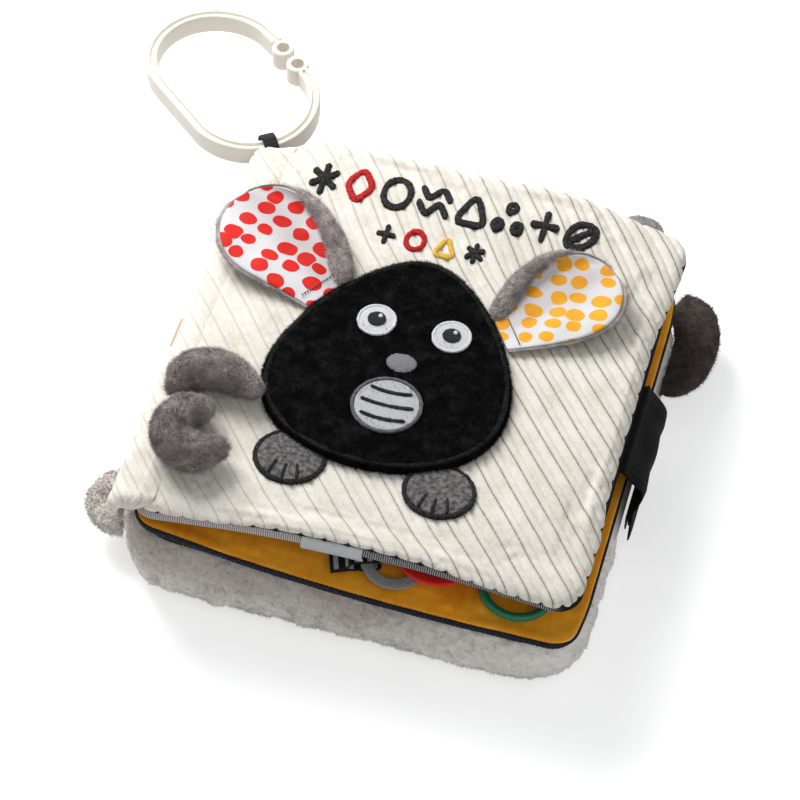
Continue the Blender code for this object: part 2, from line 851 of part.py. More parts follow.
def make_strap():
    """The strap bows out over the page's edge and closes on the fleece of the back cover."""
    side = back_side_x()
    hook_low = side + seat_gap + patch_thread + seat_gap
    inner_x = hook_low + patch_thread + seat_gap
    middle = []
    for step in range(strap_steps + 1):
        share = step / strap_steps
        z = strap_start_z + (strap_tip_z - strap_start_z) * share
        settle = inner_x + strap_thickness / 2 - strap_start_x
        bow = math.sin(math.pi * min(share / 0.62, 1.0)) * (strap_bulge - settle * 0.6)
        x = strap_start_x + settle * smooth_step(share / 0.30) + max(bow, 0)
        middle.append(Vector((x, 0, z)))
    outer, inner = [], []
    for i, point in enumerate(middle):
        tangent = (middle[min(i + 1, strap_steps)] - middle[max(i - 1, 0)]).normalized()
        normal = Vector((-tangent.z, 0, tangent.x))
        outer.append(point + normal * (strap_thickness / 2))
        inner.append(point - normal * (strap_thickness / 2))
    section = outer + list(reversed(inner))
    loops = []
    for share in (-1, 1):
        y = strap_centre_y + share * strap_width / 2
        loops.append([(p.x, y, p.z) for p in section])
    place("closing_strap", loft(loops), satin_black, strap_hinge)

    for name, x, width, joint in [
            ("strap_loop_patch", side + seat_gap, loop_patch_width, None),
            ("strap_hook_patch", hook_low, hook_patch_width, strap_hinge)]:
        corners = [(-width / 2, loop_patch_low_z), (width / 2, loop_patch_low_z),
                   (width / 2, loop_patch_high_z), (-width / 2, loop_patch_high_z)]
        near = [(x, strap_centre_y + y, z) for y, z in corners]
        far = [(x + patch_thread, strap_centre_y + y, z) for y, z in corners]
        place(name, loft([near, far]), satin_black, joint)


# Pieces sewn into the back cover's side
side_ear_from_top = 0.0260
side_ear_y = back_height / 2 - side_ear_from_top
side_ear_half_length = 0.0275
side_ear_sewn_top = 0.0175
side_ear_reach = 0.0185
side_ear_z = 0.0150
side_ear_thickness = 0.0034
side_ear_lining_thickness = 0.0016
side_ear_steps = 12
sewn_steps = 6
leg_width = 0.020
leg_root_share = 0.82
leg_reach = 0.040
leg_hoof_reach = 0.0112
leg_hoof_steps = 10
leg_thickness = 0.0075
leg_x = 0.067
leg_z = 0.0135
tuft_half_length = 0.0155
tuft_reach = 0.0175
tuft_thickness = 0.0085
tuft_steps = 10
tuft_from_front = 0.0305
tuft_y = tuft_from_front - back_height / 2
tuft_z = 0.0150
tab_width = 0.016
tab_reach = 0.0102
tab_thickness = 0.0014
tab_y = 0.0165
tab_z = 0.0225
tab_drop = 0.0020
# A flap's thickness where it is sewn in, and how far it takes to fill out
sewn_thickness_share = 0.10
filled_out_share = 0.40
# A stuffed flap from its underside to its top: size, and height as a share of its thickness
stuffed_shares = [(0.78, -0.5), (0.95, -0.34), (1.0, 0.0), (0.95, 0.34), (0.78, 0.5)]


def side_ear_root(y):
    """Where the side ear is sewn in along the back cover's corner."""
    low = side_ear_z - seat_gap - side_ear_lining_thickness
    side = back_side_x() - back_side_inset(back_side_x(), low) + seat_gap
    return side - corner_set_back(min(y, side_ear_y + side_ear_sewn_top))


def tuft_root(y):
    """Where the fleece tuft is sewn in along the spine side's corner."""
    return back_spine_x() - seat_gap + corner_set_back(y)


def half_disc(half_length, reach, steps):
    """A rounded outline of (reach, length), from one end of its straight side to the other."""
    points = []
    for step in range(steps + 1):
        angle = -math.pi / 2 + math.pi * step / steps
        points.append((reach * max(math.cos(angle), 0) ** 0.8, half_length * math.sin(angle)))
    return points


def sewn_edge(start, end):
    """Places along the sewn edge that close a flap's outline, from near start towards end."""
    return [(0, start + (end - start) * step / sewn_steps) for step in range(1, sewn_steps)]


def flap(outline, spot, reach, z, rows):
    """A padded flap, thin where it is sewn in.

    The outline is (distance from the sewn edge, place along it), each row has its share of the
    outline's size and its height over z, and spot() turns a distance and a place into x and y.
    """
    loops = []
    for share, rise in rows:
        loop = []
        for distance, along in outline:
            full = smooth_step(distance / (reach * filled_out_share))
            thin = sewn_thickness_share + (1.0 - sewn_thickness_share) * full
            loop.append((*spot(distance * share, along * share), z + rise * thin))
        loops.append(loop)
    return loft(loops)


def make_side_ear():
    """The dark ear at the fore edge's top corner, and the pale lining under it."""
    outline = []
    for reach, along in half_disc(side_ear_half_length, side_ear_reach, side_ear_steps):
        sewn = side_ear_root(side_ear_y + along)
        outline.append((side_ear_root(side_ear_y) + reach - sewn, along))
    outline += [(0, side_ear_sewn_top)] + sewn_edge(side_ear_sewn_top, -side_ear_half_length)

    def spot(distance, along):
        return side_ear_root(side_ear_y + along) + distance, side_ear_y + along

    thick = side_ear_thickness
    rows = [(0.90, 0), (1.0, thick * 0.35), (0.98, thick * 0.7), (0.82, thick)]
    place("side_ear_plush", flap(outline, spot, side_ear_reach, side_ear_z, rows),
          plush_dark, side_ear_hinge)
    thick = side_ear_lining_thickness
    rows = [(0.80, -thick), (0.93, -thick / 2), (0.90, 0)]
    place("side_ear_lining", flap(outline, spot, side_ear_reach, side_ear_z - seat_gap, rows),
          plush_grey_pale, side_ear_hinge)


def make_top_leg():
    """The stuffed leg at the top edge and its dark hoof."""
    half = leg_width / 2
    shank = leg_reach - leg_hoof_reach

    def spot(distance, along):
        return leg_x + along, back_height / 2 + seat_gap + distance

    rows = [(share, leg_thickness * height) for share, height in stuffed_shares]
    narrow = half * leg_root_share
    leg = [(0, -narrow), (shank / 2, -half), (shank - seat_gap, -half),
           (shank - seat_gap, half), (shank / 2, half), (0, narrow)]
    place("top_leg", flap(leg, spot, leg_reach, leg_z, rows), plush_grey_pale, top_leg_hinge)
    hoof = []
    for step in range(leg_hoof_steps + 1):
        angle = math.pi * step / leg_hoof_steps
        hoof.append((shank + leg_hoof_reach * math.sin(angle) ** 0.7, -half * math.cos(angle)))
    place("top_leg_hoof", flap(hoof, spot, leg_reach, leg_z, rows), plush_dark, top_leg_hinge)


def make_spine_pieces():
    """The fleece tuft and the ribbon tab at the spine side."""

    def spot(distance, along):
        return tuft_root(tuft_y + along) - distance, tuft_y + along

    rows = [(share, tuft_thickness * height) for share, height in stuffed_shares]
    shape = half_disc(tuft_half_length, tuft_reach, tuft_steps)
    shape += sewn_edge(tuft_half_length, -tuft_half_length)
    place("fleece_tuft", flap(shape, spot, tuft_reach, tuft_z, rows), fleece, tuft_hinge)

    root = back_spine_x() + back_side_inset(back_spine_x(), tab_z - tab_thickness) - seat_gap
    ends = []
    for x, z in [(root, tab_z), (root - tab_reach, tab_z - tab_drop)]:
        corners = [(-1, -1), (1, -1), (1, 1), (-1, 1)]
        ends.append([(x, tab_y + s * tab_width / 2, z + t * tab_thickness / 2)
                     for s, t in corners])
    place("spine_ribbon_tab", loft(ends), ribbon_tan)


# Soft rings that lie on the page, and the cloth bands that hold them
ring_steps = 30
grey_ring_radius = 0.0130
grey_ring_bore = 0.0088
grey_ring_thickness = 0.0018
grey_ring_x = 0.0175
grey_ring_from_front = 0.0140
grey_ring_centre = (grey_ring_x, grey_ring_from_front - page_height / 2)
red_ring_radius = 0.0155
red_ring_bore = 0.0105
red_ring_thickness = 0.0018
ring_pitch = 0.0162
ring_line_angle = math.radians(20.0)
ring_tilt = math.radians(12.0)
ring_rest_gap = 0.0004
green_ring_radius = 0.0135
green_ring_wire = 0.0017
green_ring_x = 0.0645
green_ring_from_front = 0.0175
green_ring_centre = (green_ring_x, green_ring_from_front - page_height / 2)
green_ring_sides = 8
green_ring_tilt = math.radians(4.6)
band_wall = 0.0008
band_steps = 7
band_stem_turn = math.radians(135.0)
band_throat_share = 0.7
page_edge_sag = 0.0003
toy_band_length = 0.009
toy_band_stem = 0.007
green_tab_length = 0.007
green_tab_stem = 0.006

red_ring_centre = (grey_ring_centre[0] + ring_pitch * math.cos(ring_line_angle),
                   grey_ring_centre[1] + ring_pitch * math.sin(ring_line_angle))
leaf_angle = math.atan(leaf_slope)
page_normal = Vector((math.sin(leaf_angle), 0, math.cos(leaf_angle)))


def ring_height(radius, thickness, tilt):
    """How far a tilted ring's middle lies over the page."""
    return radius * math.sin(abs(tilt)) + thickness / 2 + ring_rest_gap


def ring_frame(centre, radius, thickness, tilt, line_angle):
    """Where a ring lies: its middle over the page, tilted about a line at an angle from +X."""
    height = ring_height(radius, thickness, tilt)
    middle = Vector((centre[0], centre[1], page_top(centre[0]))) + page_normal * height
    line = Vector((math.cos(line_angle), math.sin(line_angle), 0))
    level = Matrix.Rotation(leaf_angle, 4, "Y")
    return Matrix.Translation(middle) @ level @ Matrix.Rotation(tilt, 4, line)


def grey_ring_frame():
    """Where the grey felt ring lies."""
    return ring_frame(grey_ring_centre, grey_ring_radius, grey_ring_thickness,
                      ring_tilt, ring_line_angle)


def red_ring_frame():
    """Where the red felt ring lies, through the grey one."""
    return ring_frame(red_ring_centre, red_ring_radius, red_ring_thickness,
                      -ring_tilt, ring_line_angle)


def green_ring_frame():
    """Where the thin green ring lies."""
    return ring_frame(green_ring_centre, green_ring_radius, 2 * green_ring_wire,
                      green_ring_tilt, 0)


def flat_ring(frame, radius, bore, thickness):
    """A flat felt ring with soft edges."""
    section = [(bore, 0.28), (bore + thickness / 3, 0.5), (radius - thickness / 3, 0.5),
               (radius, 0.28), (radius, -0.28), (radius - thickness / 3, -0.5),
               (bore + thickness / 3, -0.5), (bore, -0.28)]
    loops = []
    for r, height_share in section:
        loops.append([frame @ Vector((r * math.cos(a), r * math.sin(a), thickness * height_share))
                      for a in [2 * math.pi * i / ring_steps for i in range(ring_steps)]])
    return loft(loops, closed=True)


def holding_band(name, frame, hole_half, hole_radius, stem, drop, length, material, joint):
    """A cloth band round a ring: a long loop with a stem that reaches the seam it is sewn to."""
    outer_radius = hole_radius + band_wall
    outline = []
    for step in range(band_steps + 1):
        angle = -math.pi / 2 + math.pi * step / band_steps
        outline.append((hole_half + outer_radius * math.cos(angle), outer_radius * math.sin(angle)))
    for step in range(band_steps):
        angle = math.pi / 2 + band_stem_turn * step / (band_steps - 1)
        outline.append((outer_radius * math.cos(angle) - hole_half, outer_radius * math.sin(angle)))
    end = -hole_half - outer_radius - stem
    outline += [(end, band_wall - drop), (end, -drop)]
    outline.append((-hole_half - outer_radius * band_throat_share, -max(drop, outer_radius)))
    hole = []
    for centre, first in [(hole_half, -math.pi / 2), (-hole_half, math.pi / 2)]:
        for step in range(band_steps + 1):
            angle = first + math.pi * step / band_steps
            hole.append((centre + hole_radius * math.cos(angle), hole_radius * math.sin(angle)))
    curve = bpy.data.curves.new(name, "CURVE")
    curve.dimensions = "2D"
    curve.fill_mode = "BOTH"
    curve.extrude = length / 2
    for points in (outline, hole):
        spline = curve.splines.new("POLY")
        spline.points.add(len(points) - 1)
        spline.use_cyclic_u = True
        for spot, (x, y) in zip(spline.points, points):
            spot.co = (x, y, 0, 1)
    drawn = bpy.data.objects.new(name + "_outline", curve)
    book.objects.link(drawn)
    bpy.context.view_layer.update()
    evaluated = drawn.evaluated_get(bpy.context.evaluated_depsgraph_get())
    mesh = bpy.data.meshes.new_from_object(evaluated)
    bm = bmesh.new()
    bm.from_mesh(mesh)
    bmesh.ops.remove_doubles(bm, verts=bm.verts, dist=layer_gap / 10)
    bmesh.ops.recalc_face_normals(bm, faces=bm.faces)
    upright = Matrix.Rotation(math.pi / 2, 4, "X")
    bm.transform(frame @ upright)
    bpy.data.objects.remove(drawn)
    place(name, bm, material, joint)


def make_toys():
    """A grey and a red felt ring linked like a chain, a thin green ring, and their bands."""
    place("grey_felt_ring",
          flat_ring(grey_ring_frame(), grey_ring_radius, grey_ring_bore, grey_ring_thickness),
          felt_grey, grey_ring_hinge)
    place("red_felt_ring",
          flat_ring(red_ring_frame(), red_ring_radius, red_ring_bore, red_ring_thickness),
          felt_red, red_ring_hinge)

    frame = green_ring_frame()
    loops = []
    for k in range(green_ring_sides):
        turn = 2 * math.pi * k / green_ring_sides
        r = green_ring_radius + green_ring_wire * math.cos(turn)
        z = green_ring_wire * math.sin(turn)
        loops.append([frame @ Vector((r * math.cos(a), r * math.sin(a), z))
                      for a in [2 * math.pi * i / ring_steps for i in range(ring_steps)]])
    place("green_ring", loft(loops, closed=True), silicone_green, green_ring_hinge)

    level = Matrix.Rotation(leaf_angle, 4, "Y")
    middle_radius = (grey_ring_radius + grey_ring_bore) / 2
    back = Vector((-math.cos(ring_line_angle), -math.sin(ring_line_angle), 0)) * middle_radius
    crossing = grey_ring_frame() @ back
    sweep = toy_band_length / 2
    hole_half = (grey_ring_radius - grey_ring_bore + sweep ** 2 / middle_radius) / 2
    hole_radius = grey_ring_thickness / 2 + sweep * math.sin(ring_tilt) + layer_gap
    drop = ring_height(grey_ring_radius, grey_ring_thickness, ring_tilt) - seat_gap + page_edge_sag
    frame = Matrix.Translation(crossing) @ level @ Matrix.Rotation(ring_line_angle, 4, "Z")
    holding_band("toy_band", frame, hole_half, hole_radius, toy_band_stem, drop,
                 toy_band_length, ribbon_striped, page_hinge)

    crossing = green_ring_frame() @ Vector((0, green_ring_radius, 0))
    lift = green_ring_radius * math.sin(green_ring_tilt)
    drop = ring_height(green_ring_radius, 2 * green_ring_wire, green_ring_tilt) + lift - seat_gap
    hole_radius = green_ring_wire + 2 * layer_gap
    frame = Matrix.Translation(crossing) @ level @ Matrix.Rotation(-math.pi / 2, 4, "Z")
    holding_band("green_ring_tab", frame, layer_gap, hole_radius, green_tab_stem, drop,
                 green_tab_length, satin_black, page_hinge)


# Link ring of moulded plastic on a ribbon loop at the top of the spine
link_corner_offset = Vector((-0.0475, 0.0620))
link_angle = math.radians(-40.0)
link_half_straight = 0.0150
link_end_radius = 0.0258
link_bulge = 0.0018
link_thickness = 0.0050
link_height = 0.0093
link_top_z = 0.0490
link_groove_width = 0.0014
link_groove_depth = 0.0011
link_gap_centre = 0.0026
link_barrel_radius = 0.0048
link_barrel_bore = 0.0027
link_barrel_spacing = 0.0112
link_steps = 44
barrel_steps = 20
hang_loop_inset = 0.0040
hang_loop_width = 0.008
hang_loop_slack = 0.0010
back_corner_centre = Vector((back_spine_x() + back_corner, back_height / 2 - back_corner))
link_centre = back_corner_centre + link_corner_offset


def link_path(count):
    """Points and outward normals of the link's middle line, from one barrel round to the other."""
    straight = 2 * link_half_straight
    arc = math.pi * link_end_radius
    half_gap = link_barrel_spacing / 2
    first = link_half_straight - (link_gap_centre + half_gap)
    last = link_half_straight + (link_gap_centre - half_gap)
    total = first + arc + straight + arc + last
    points = []
    for i in range(count + 1):
        run = total * i / count
        if run < first:
            u, v = link_gap_centre + half_gap + run, link_end_radius
        elif run < first + arc:
            turn = (run - first) / link_end_radius
            u = link_half_straight + link_end_radius * math.sin(turn)
            v = link_end_radius * math.cos(turn)
        elif run < first + arc + straight:
            u, v = link_half_straight - (run - first - arc), -link_end_radius
        elif run < first + 2 * arc + straight:
            turn = (run - first - arc - straight) / link_end_radius
            u = -link_half_straight - link_end_radius * math.sin(turn)
            v = -link_end_radius * math.cos(turn)
        else:
            u = -link_half_straight + (run - first - 2 * arc - straight)
            v = link_end_radius
        if v > 0:
            v += link_bulge * (v / link_end_radius) ** 2 * math.cos(
                math.pi / 2 * u / (link_half_straight + link_end_radius))
        points.append(Vector((u, v, 0)))
    return points


def link_world(u, v):
    """A place on the link's plane."""
    x = link_centre[0] + u * math.cos(link_angle) - v * math.sin(link_angle)
    y = link_centre[1] + u * math.sin(link_angle) + v * math.cos(link_angle)
    return x, y


def make_link():
    """The C-shaped link with a groove along both faces, and a hollow barrel at each end."""
    half = link_thickness / 2
    groove = link_groove_width / 2
    high = link_height / 2
    floor = high - link_groove_depth
    quarter = [(half, high * 0.82), (half * 0.8, high), (groove, high), (groove * 0.7, floor)]
    profile = quarter + [(-r, z) for r, z in reversed(quarter)]
    profile += [(-r, -z) for r, z in quarter] + [(r, -z) for r, z in reversed(quarter)]
    path = link_path(link_steps)
    middle_z = link_top_z - high
    loops = []
    for i, point in enumerate(path):
        tangent = (path[min(i + 1, link_steps)] - path[max(i - 1, 0)]).normalized()
        normal = Vector((-tangent.y, tangent.x, 0))
        loop = []
        for r, z in profile:
            spot = point + normal * r
            loop.append((*link_world(spot.x, spot.y), middle_z + z))
        loops.append(loop)
    ring = place("link_ring", loft(loops), plastic_cream, link_hinge, smooth=math.radians(32.0))

    barrels = bmesh.new()
    bores = bmesh.new()
    for end in (path[0], path[-1]):
        x, y = link_world(end.x, end.y)
        spot = Matrix.Translation((x, y, middle_z))
        bmesh.ops.create_cone(barrels, cap_ends=True, segments=barrel_steps, depth=link_height,
                              radius1=link_barrel_radius, radius2=link_barrel_radius, matrix=spot)
        bmesh.ops.create_cone(bores, cap_ends=True, segments=barrel_steps, depth=2 * link_height,
                              radius1=link_barrel_bore, radius2=link_barrel_bore, matrix=spot)
    boolean(ring, cutter("link_barrels", barrels, link_hinge), "UNION")
    boolean(ring, cutter("link_bores", bores, link_hinge), "DIFFERENCE")

    away = link_crossing.xy - back_corner_centre
    turn = Matrix.Rotation(math.atan2(away.y, away.x), 4, "Z")
    hole_radius = math.hypot(half, high) + hang_loop_slack
    reach = away.length - (back_corner - hang_loop_inset)
    stem = reach - hole_radius - band_wall
    root_x = back_corner_centre.x + (back_corner - hang_loop_inset) * away.normalized().x
    seat = back_shoulder(root_x - hang_loop_width / 2, hang_loop_inset) + seat_gap
    holding_band("hang_loop", Matrix.Translation(link_crossing) @ turn, 0, hole_radius, stem,
                 link_crossing.z - seat, hang_loop_width, ribbon_black, None)


def nearest_link_point():
    """The middle of the link's band where it lies nearest to the book's corner."""
    spots = [Vector(link_world(p.x, p.y)) for p in link_path(12 * link_steps)]
    spot = min(spots, key=lambda s: (s - back_corner_centre).length)
    return Vector((spot.x, spot.y, link_top_z - link_height / 2))


for old in list(bpy.data.objects):
    bpy.data.objects.remove(old)

book = linked("cloth_book")
cutters = linked("cloth_book_cutters")
joint_points = {}

fleece = plain_material("fleece", (0.58, 0.55, 0.51), 1.0)
wadding_white = plain_material("wadding", (0.85, 0.85, 0.84), 1.0)
striped_cotton = plain_material("striped_cotton", (0.30, 0.30, 0.31), 0.85)
overlock_black = plain_material("overlock_black", (0.012, 0.012, 0.013), 0.9)
overlock_navy = plain_material("overlock_navy", (0.012, 0.016, 0.028), 0.9)
velour_mustard = plain_material("velour_mustard", (0.80, 0.36, 0.02), 0.85)
satin_black = plain_material("satin_black", (0.008, 0.008, 0.009), 0.45)
crinkle_film = plain_material("crinkle_film", (0.75, 0.76, 0.78), 0.3)
plush_cream = plain_material("plush_cream", (0.80, 0.76, 0.68), 0.95)
plush_black = plain_material("plush_black", (0.006, 0.006, 0.007), 0.9)
plush_grey = plain_material("plush_grey", (0.20, 0.18, 0.18), 0.95)
plush_dark = plain_material("plush_dark", (0.055, 0.048, 0.046), 0.95)
plush_grey_pale = plain_material("plush_grey_pale", (0.36, 0.35, 0.35), 0.95)
thread_white = plain_material("thread_white", (0.75, 0.75, 0.75), 0.6)
thread_black = plain_material("thread_black", (0.01, 0.01, 0.01), 0.6)
thread_grey = plain_material("thread_grey", (0.22, 0.22, 0.22), 0.6)
thread_pale = plain_material("thread_pale", (0.50, 0.52, 0.52), 0.6)
cotton_red_spots = plain_material("cotton_red_spots", (0.70, 0.03, 0.02), 0.6)
cotton_yellow_spots = plain_material("cotton_yellow_spots", (0.80, 0.42, 0.03), 0.6)
ribbon_tan = plain_material("ribbon_tan", (0.72, 0.50, 0.34), 0.5)
ribbon_black = plain_material("ribbon_black", (0.01, 0.01, 0.01), 0.6)
ribbon_striped = plain_material("ribbon_striped", (0.05, 0.05, 0.055), 0.6)
felt_grey = plain_material("felt_grey", (0.25, 0.25, 0.25), 1.0)
felt_red = plain_material("felt_red", (0.72, 0.015, 0.008), 0.7)
silicone_green = plain_material("silicone_green", (0.005, 0.16, 0.07), 0.45)
plastic_cream = plain_material("plastic_cream", (0.76, 0.70, 0.60), 0.4)

page_hinge = joint_empty("page_hinge", (hinge_x, 0, page_hinge_z))
cover_hinge = joint_empty("cover_hinge", (hinge_x, 0, cover_hinge_z), page_hinge)
left_ear_hinge = joint_empty(
    "left_ear_hinge", (*ear_root(math.pi - ear_turn)[0], ear_root_z), cover_hinge)
right_ear_hinge = joint_empty(
    "right_ear_hinge", (*ear_root(ear_turn)[0], ear_root_z), cover_hinge)
tail_hinge = joint_empty("tail_hinge", (*tail_root, cover_top_z + tail_radius), cover_hinge)
strap_hinge = joint_empty("strap_hinge", (strap_start_x, strap_centre_y, strap_start_z), cover_hinge)
side_ear_hinge = joint_empty(
    "side_ear_hinge", (side_ear_root(side_ear_y), side_ear_y, side_ear_z))
top_leg_hinge = joint_empty("top_leg_hinge", (leg_x, back_height / 2 + seat_gap, leg_z))
tuft_hinge = joint_empty("tuft_hinge", (tuft_root(tuft_y), tuft_y, tuft_z))
grey_ring_hinge = joint_empty("grey_ring_hinge", grey_ring_frame().translation, page_hinge)
red_ring_hinge = joint_empty("red_ring_hinge", red_ring_frame().translation, page_hinge)
green_ring_hinge = joint_empty("green_ring_hinge", green_ring_frame().translation, page_hinge)
link_crossing = nearest_link_point()
link_hinge = joint_empty("link_hinge", link_crossing)

make_back_cover()
make_page()
make_front_cover()
make_spine()
make_patch()
make_ears()
make_tail()
make_strap()
make_side_ear()
make_top_leg()
make_spine_pieces()
make_toys()
make_link()
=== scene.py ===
"""Looks of the soft cloth activity book: fabric, fur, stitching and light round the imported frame.

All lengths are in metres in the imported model's frame: +X from the spine to the fore edge, +Y to the
top edge of the pages, +Z up.
"""
import math
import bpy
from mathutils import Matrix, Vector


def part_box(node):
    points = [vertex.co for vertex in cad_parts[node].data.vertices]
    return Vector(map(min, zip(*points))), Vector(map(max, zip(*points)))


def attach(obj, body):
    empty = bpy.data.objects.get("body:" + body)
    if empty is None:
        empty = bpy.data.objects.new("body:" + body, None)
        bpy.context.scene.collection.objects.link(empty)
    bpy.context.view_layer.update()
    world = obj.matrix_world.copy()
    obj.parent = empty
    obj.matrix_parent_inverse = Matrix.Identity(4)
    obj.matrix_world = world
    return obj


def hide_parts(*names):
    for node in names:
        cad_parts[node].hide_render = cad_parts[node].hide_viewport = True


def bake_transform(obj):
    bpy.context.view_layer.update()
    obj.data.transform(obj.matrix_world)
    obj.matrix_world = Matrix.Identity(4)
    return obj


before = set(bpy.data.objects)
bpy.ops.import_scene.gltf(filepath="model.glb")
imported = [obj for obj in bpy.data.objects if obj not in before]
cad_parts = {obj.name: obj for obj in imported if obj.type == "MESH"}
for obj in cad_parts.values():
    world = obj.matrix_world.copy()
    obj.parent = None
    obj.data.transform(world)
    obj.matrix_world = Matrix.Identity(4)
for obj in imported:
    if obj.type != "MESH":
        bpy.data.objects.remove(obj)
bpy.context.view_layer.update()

from types import SimpleNamespace

import bpy
import numpy as np
from mathutils import Matrix, Vector, noise

MM = 0.001
up_way = np.array([0, 0, 1.0])

# Sizes of the leaves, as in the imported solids
leaf_slope = 0.014 / 0.180
leaf_angle = math.atan(leaf_slope)
back_size = SimpleNamespace(width=0.185, height=0.193, corner=0.026, centre=0.0015)
page_size = SimpleNamespace(width=0.173, height=0.184, corner=0.010, centre=0.004)
cover_size = SimpleNamespace(width=0.1722, height=0.184, corner=0.011, centre=0.0039)
leaf_corners = [(1, 1, 0), (-1, 1, 90), (-1, -1, 180), (1, -1, 270)]
back_seam_z = 0.0283
page_mid_z = 0.0334
page_rise = 0.0039
cover_seam_z = 0.050
cover_top_z = 0.0575
cover_head_reach = 0.045
cover_front_reach = 0.020
cover_front_lift = 0.0055
cover_thinning = 0.62
rib_pitch = 0.00705
rib_angle = math.radians(-50.0)
strap_y = -0.001
stuffing_frames = 16

random = np.random.default_rng(7)
relief = {}


# Surfaces

def smooth(share):
    """0 to 1 with level ends."""
    share = np.clip(share, 0.0, 1.0)
    return share * share * (3.0 - 2.0 * share)


def unit(vectors):
    """The same directions with length 1."""
    return vectors / np.linalg.norm(vectors, axis=-1, keepdims=True)


def lumps(points, size, depth=2, seed=0.0):
    """Fractal noise, about -1 to 1, at each point; size is how wide its lumps are."""
    scaled = np.asarray(points) / size + seed
    made = [noise.fractal(Vector(p), 1.0, 2.0, depth) for p in scaled.reshape(-1, 3).tolist()]
    return np.reshape(made, scaled.shape[:-1])


def grid_faces(rows, columns, wrap_rows=False, wrap_columns=False):
    """Quads of a grid of points stored row by row."""
    r, c = np.meshgrid(np.arange(rows - (not wrap_rows)), np.arange(columns - (not wrap_columns)),
                       indexing="ij")
    r_next, c_next = (r + 1) % rows, (c + 1) % columns
    return np.stack([r * columns + c, r * columns + c_next,
                     r_next * columns + c_next, r_next * columns + c], -1).reshape(-1, 4)


def catmull(points, steps):
    """A smooth curve through the points."""
    points = np.asarray(points, float)
    last = len(points) - 1
    t = (np.arange(steps) / steps)[:, None]
    fine = []
    for i in range(last):
        a, b, c, d = (points[min(max(i + k, 0), last)] for k in (-1, 0, 1, 2))
        fine.append(0.5 * (2 * b + (c - a) * t + (2 * a - 5 * b + 4 * c - d) * t ** 2
                           + (3 * b - a - 3 * c + d) * t ** 3))
    return np.vstack([*fine, points[-1:]])


def run_along(points):
    """The distance along a line of points at each of them."""
    return np.concatenate([[0.0], np.cumsum(np.linalg.norm(np.diff(points, axis=0), axis=1))])


def resample(points, spacing, closed=False):
    """The same line with points at even spacing."""
    points = np.asarray(points, float)
    if closed:
        points = np.vstack([points, points[:1]])
    run = run_along(points)
    count = max(int(round(run[-1] / spacing)), 3)
    spots = np.linspace(0, run[-1], count + 1)[:count + (not closed)]
    return np.stack([np.interp(spots, run, column) for column in points.T], -1)


def directions(line, closed=False):
    """Unit directions along a line of points."""
    return unit(np.roll(line, -1, 0) - np.roll(line, 1, 0) if closed else np.gradient(line, axis=0))


def left_of(ways):
    """Plane directions turned a quarter to the left."""
    return np.stack([-ways[:, 1], ways[:, 0]], -1)


def angles(count):
    """Even angles round a circle."""
    return np.linspace(0, 2 * math.pi, count, endpoint=False)


def circle(count):
    """Points round a circle of radius 1."""
    return np.stack([np.cos(angles(count)), np.sin(angles(count))], -1)


def box_section(half_width, half_height, count, wide_power=1.0, high_power=1.0):
    """Points round an oval, squarer the smaller its powers are."""
    ring = circle(count)
    return np.sign(ring) * np.abs(ring) ** [wide_power, high_power] * [half_width, half_height]


def new_object(name, data):
    """An object in the scene."""
    made = bpy.data.objects.new(name, data)
    bpy.context.scene.collection.objects.link(made)
    return made


class Piece:
    """Collects points and faces of one visible piece, then makes its object."""

    def __init__(self, name):
        self.name, self.count = name, 0
        self.points, self.faces, self.values = [], [], {}

    def add(self, points, faces, **values):
        points = np.asarray(points, float).reshape(-1, 3)
        self.faces += (np.asarray(faces) + self.count).tolist()
        self.points.append(points)
        for key in {**self.values, **values}:
            made = self.values.setdefault(key, [np.zeros(self.count)])
            made.append(np.broadcast_to(np.reshape(values.get(key, 0.0), -1), len(points)))
        self.count += len(points)

    def add_ring_face(self, ring):
        """One face over a ring of point numbers."""
        self.faces.append([int(number) for number in ring])

    def make(self, material, body, slot, replaces=(), fill=None):
        mesh = bpy.data.meshes.new(self.name)
        mesh.from_pydata(np.vstack(self.points).tolist(), [], self.faces)
        for key, parts in self.values.items():
            layer = mesh.attributes.new(key, "FLOAT", "POINT")
            layer.data.foreach_set("value", np.concatenate(parts).astype(np.float32))
        mesh.materials.append(material)
        mesh.shade_smooth()
        mesh.validate()
        piece = new_object(self.name, mesh)
        if body:
            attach(piece, body)
        if replaces:
            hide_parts(*replaces)
        return piece


def add_leaf(piece, points, shape, ring, side=1, **values):
    """A leaf's face, up or down, with one flat face that closes it."""
    piece.add(points, grid_faces(*shape)[:, ::side], **values)
    piece.add_ring_face(ring[::-side])


def add_skin(piece, loops, closed=False, **values):
    """A skin through loops of points, capped at both ends unless the loops go round; faces outward."""
    rows, columns = loops.shape[:2]
    flat = loops.reshape(-1, 3)
    faces = grid_faces(rows, columns, closed, True)
    centred = flat - flat.mean(0)
    a, b, c, d = (centred[faces[:, k]] for k in range(4))
    turn = -1 if (np.cross(c - a, d - b) * (a + b + c + d)).sum() < 0 else 1
    first = piece.count
    piece.add(flat, faces[:, ::turn], **values)
    if not closed:
        last = first + (rows - 1) * columns
        piece.add_ring_face(range(first, first + columns)[::-turn])
        piece.add_ring_face(range(last, last + columns)[::turn])
    return flat, faces[:, ::turn]


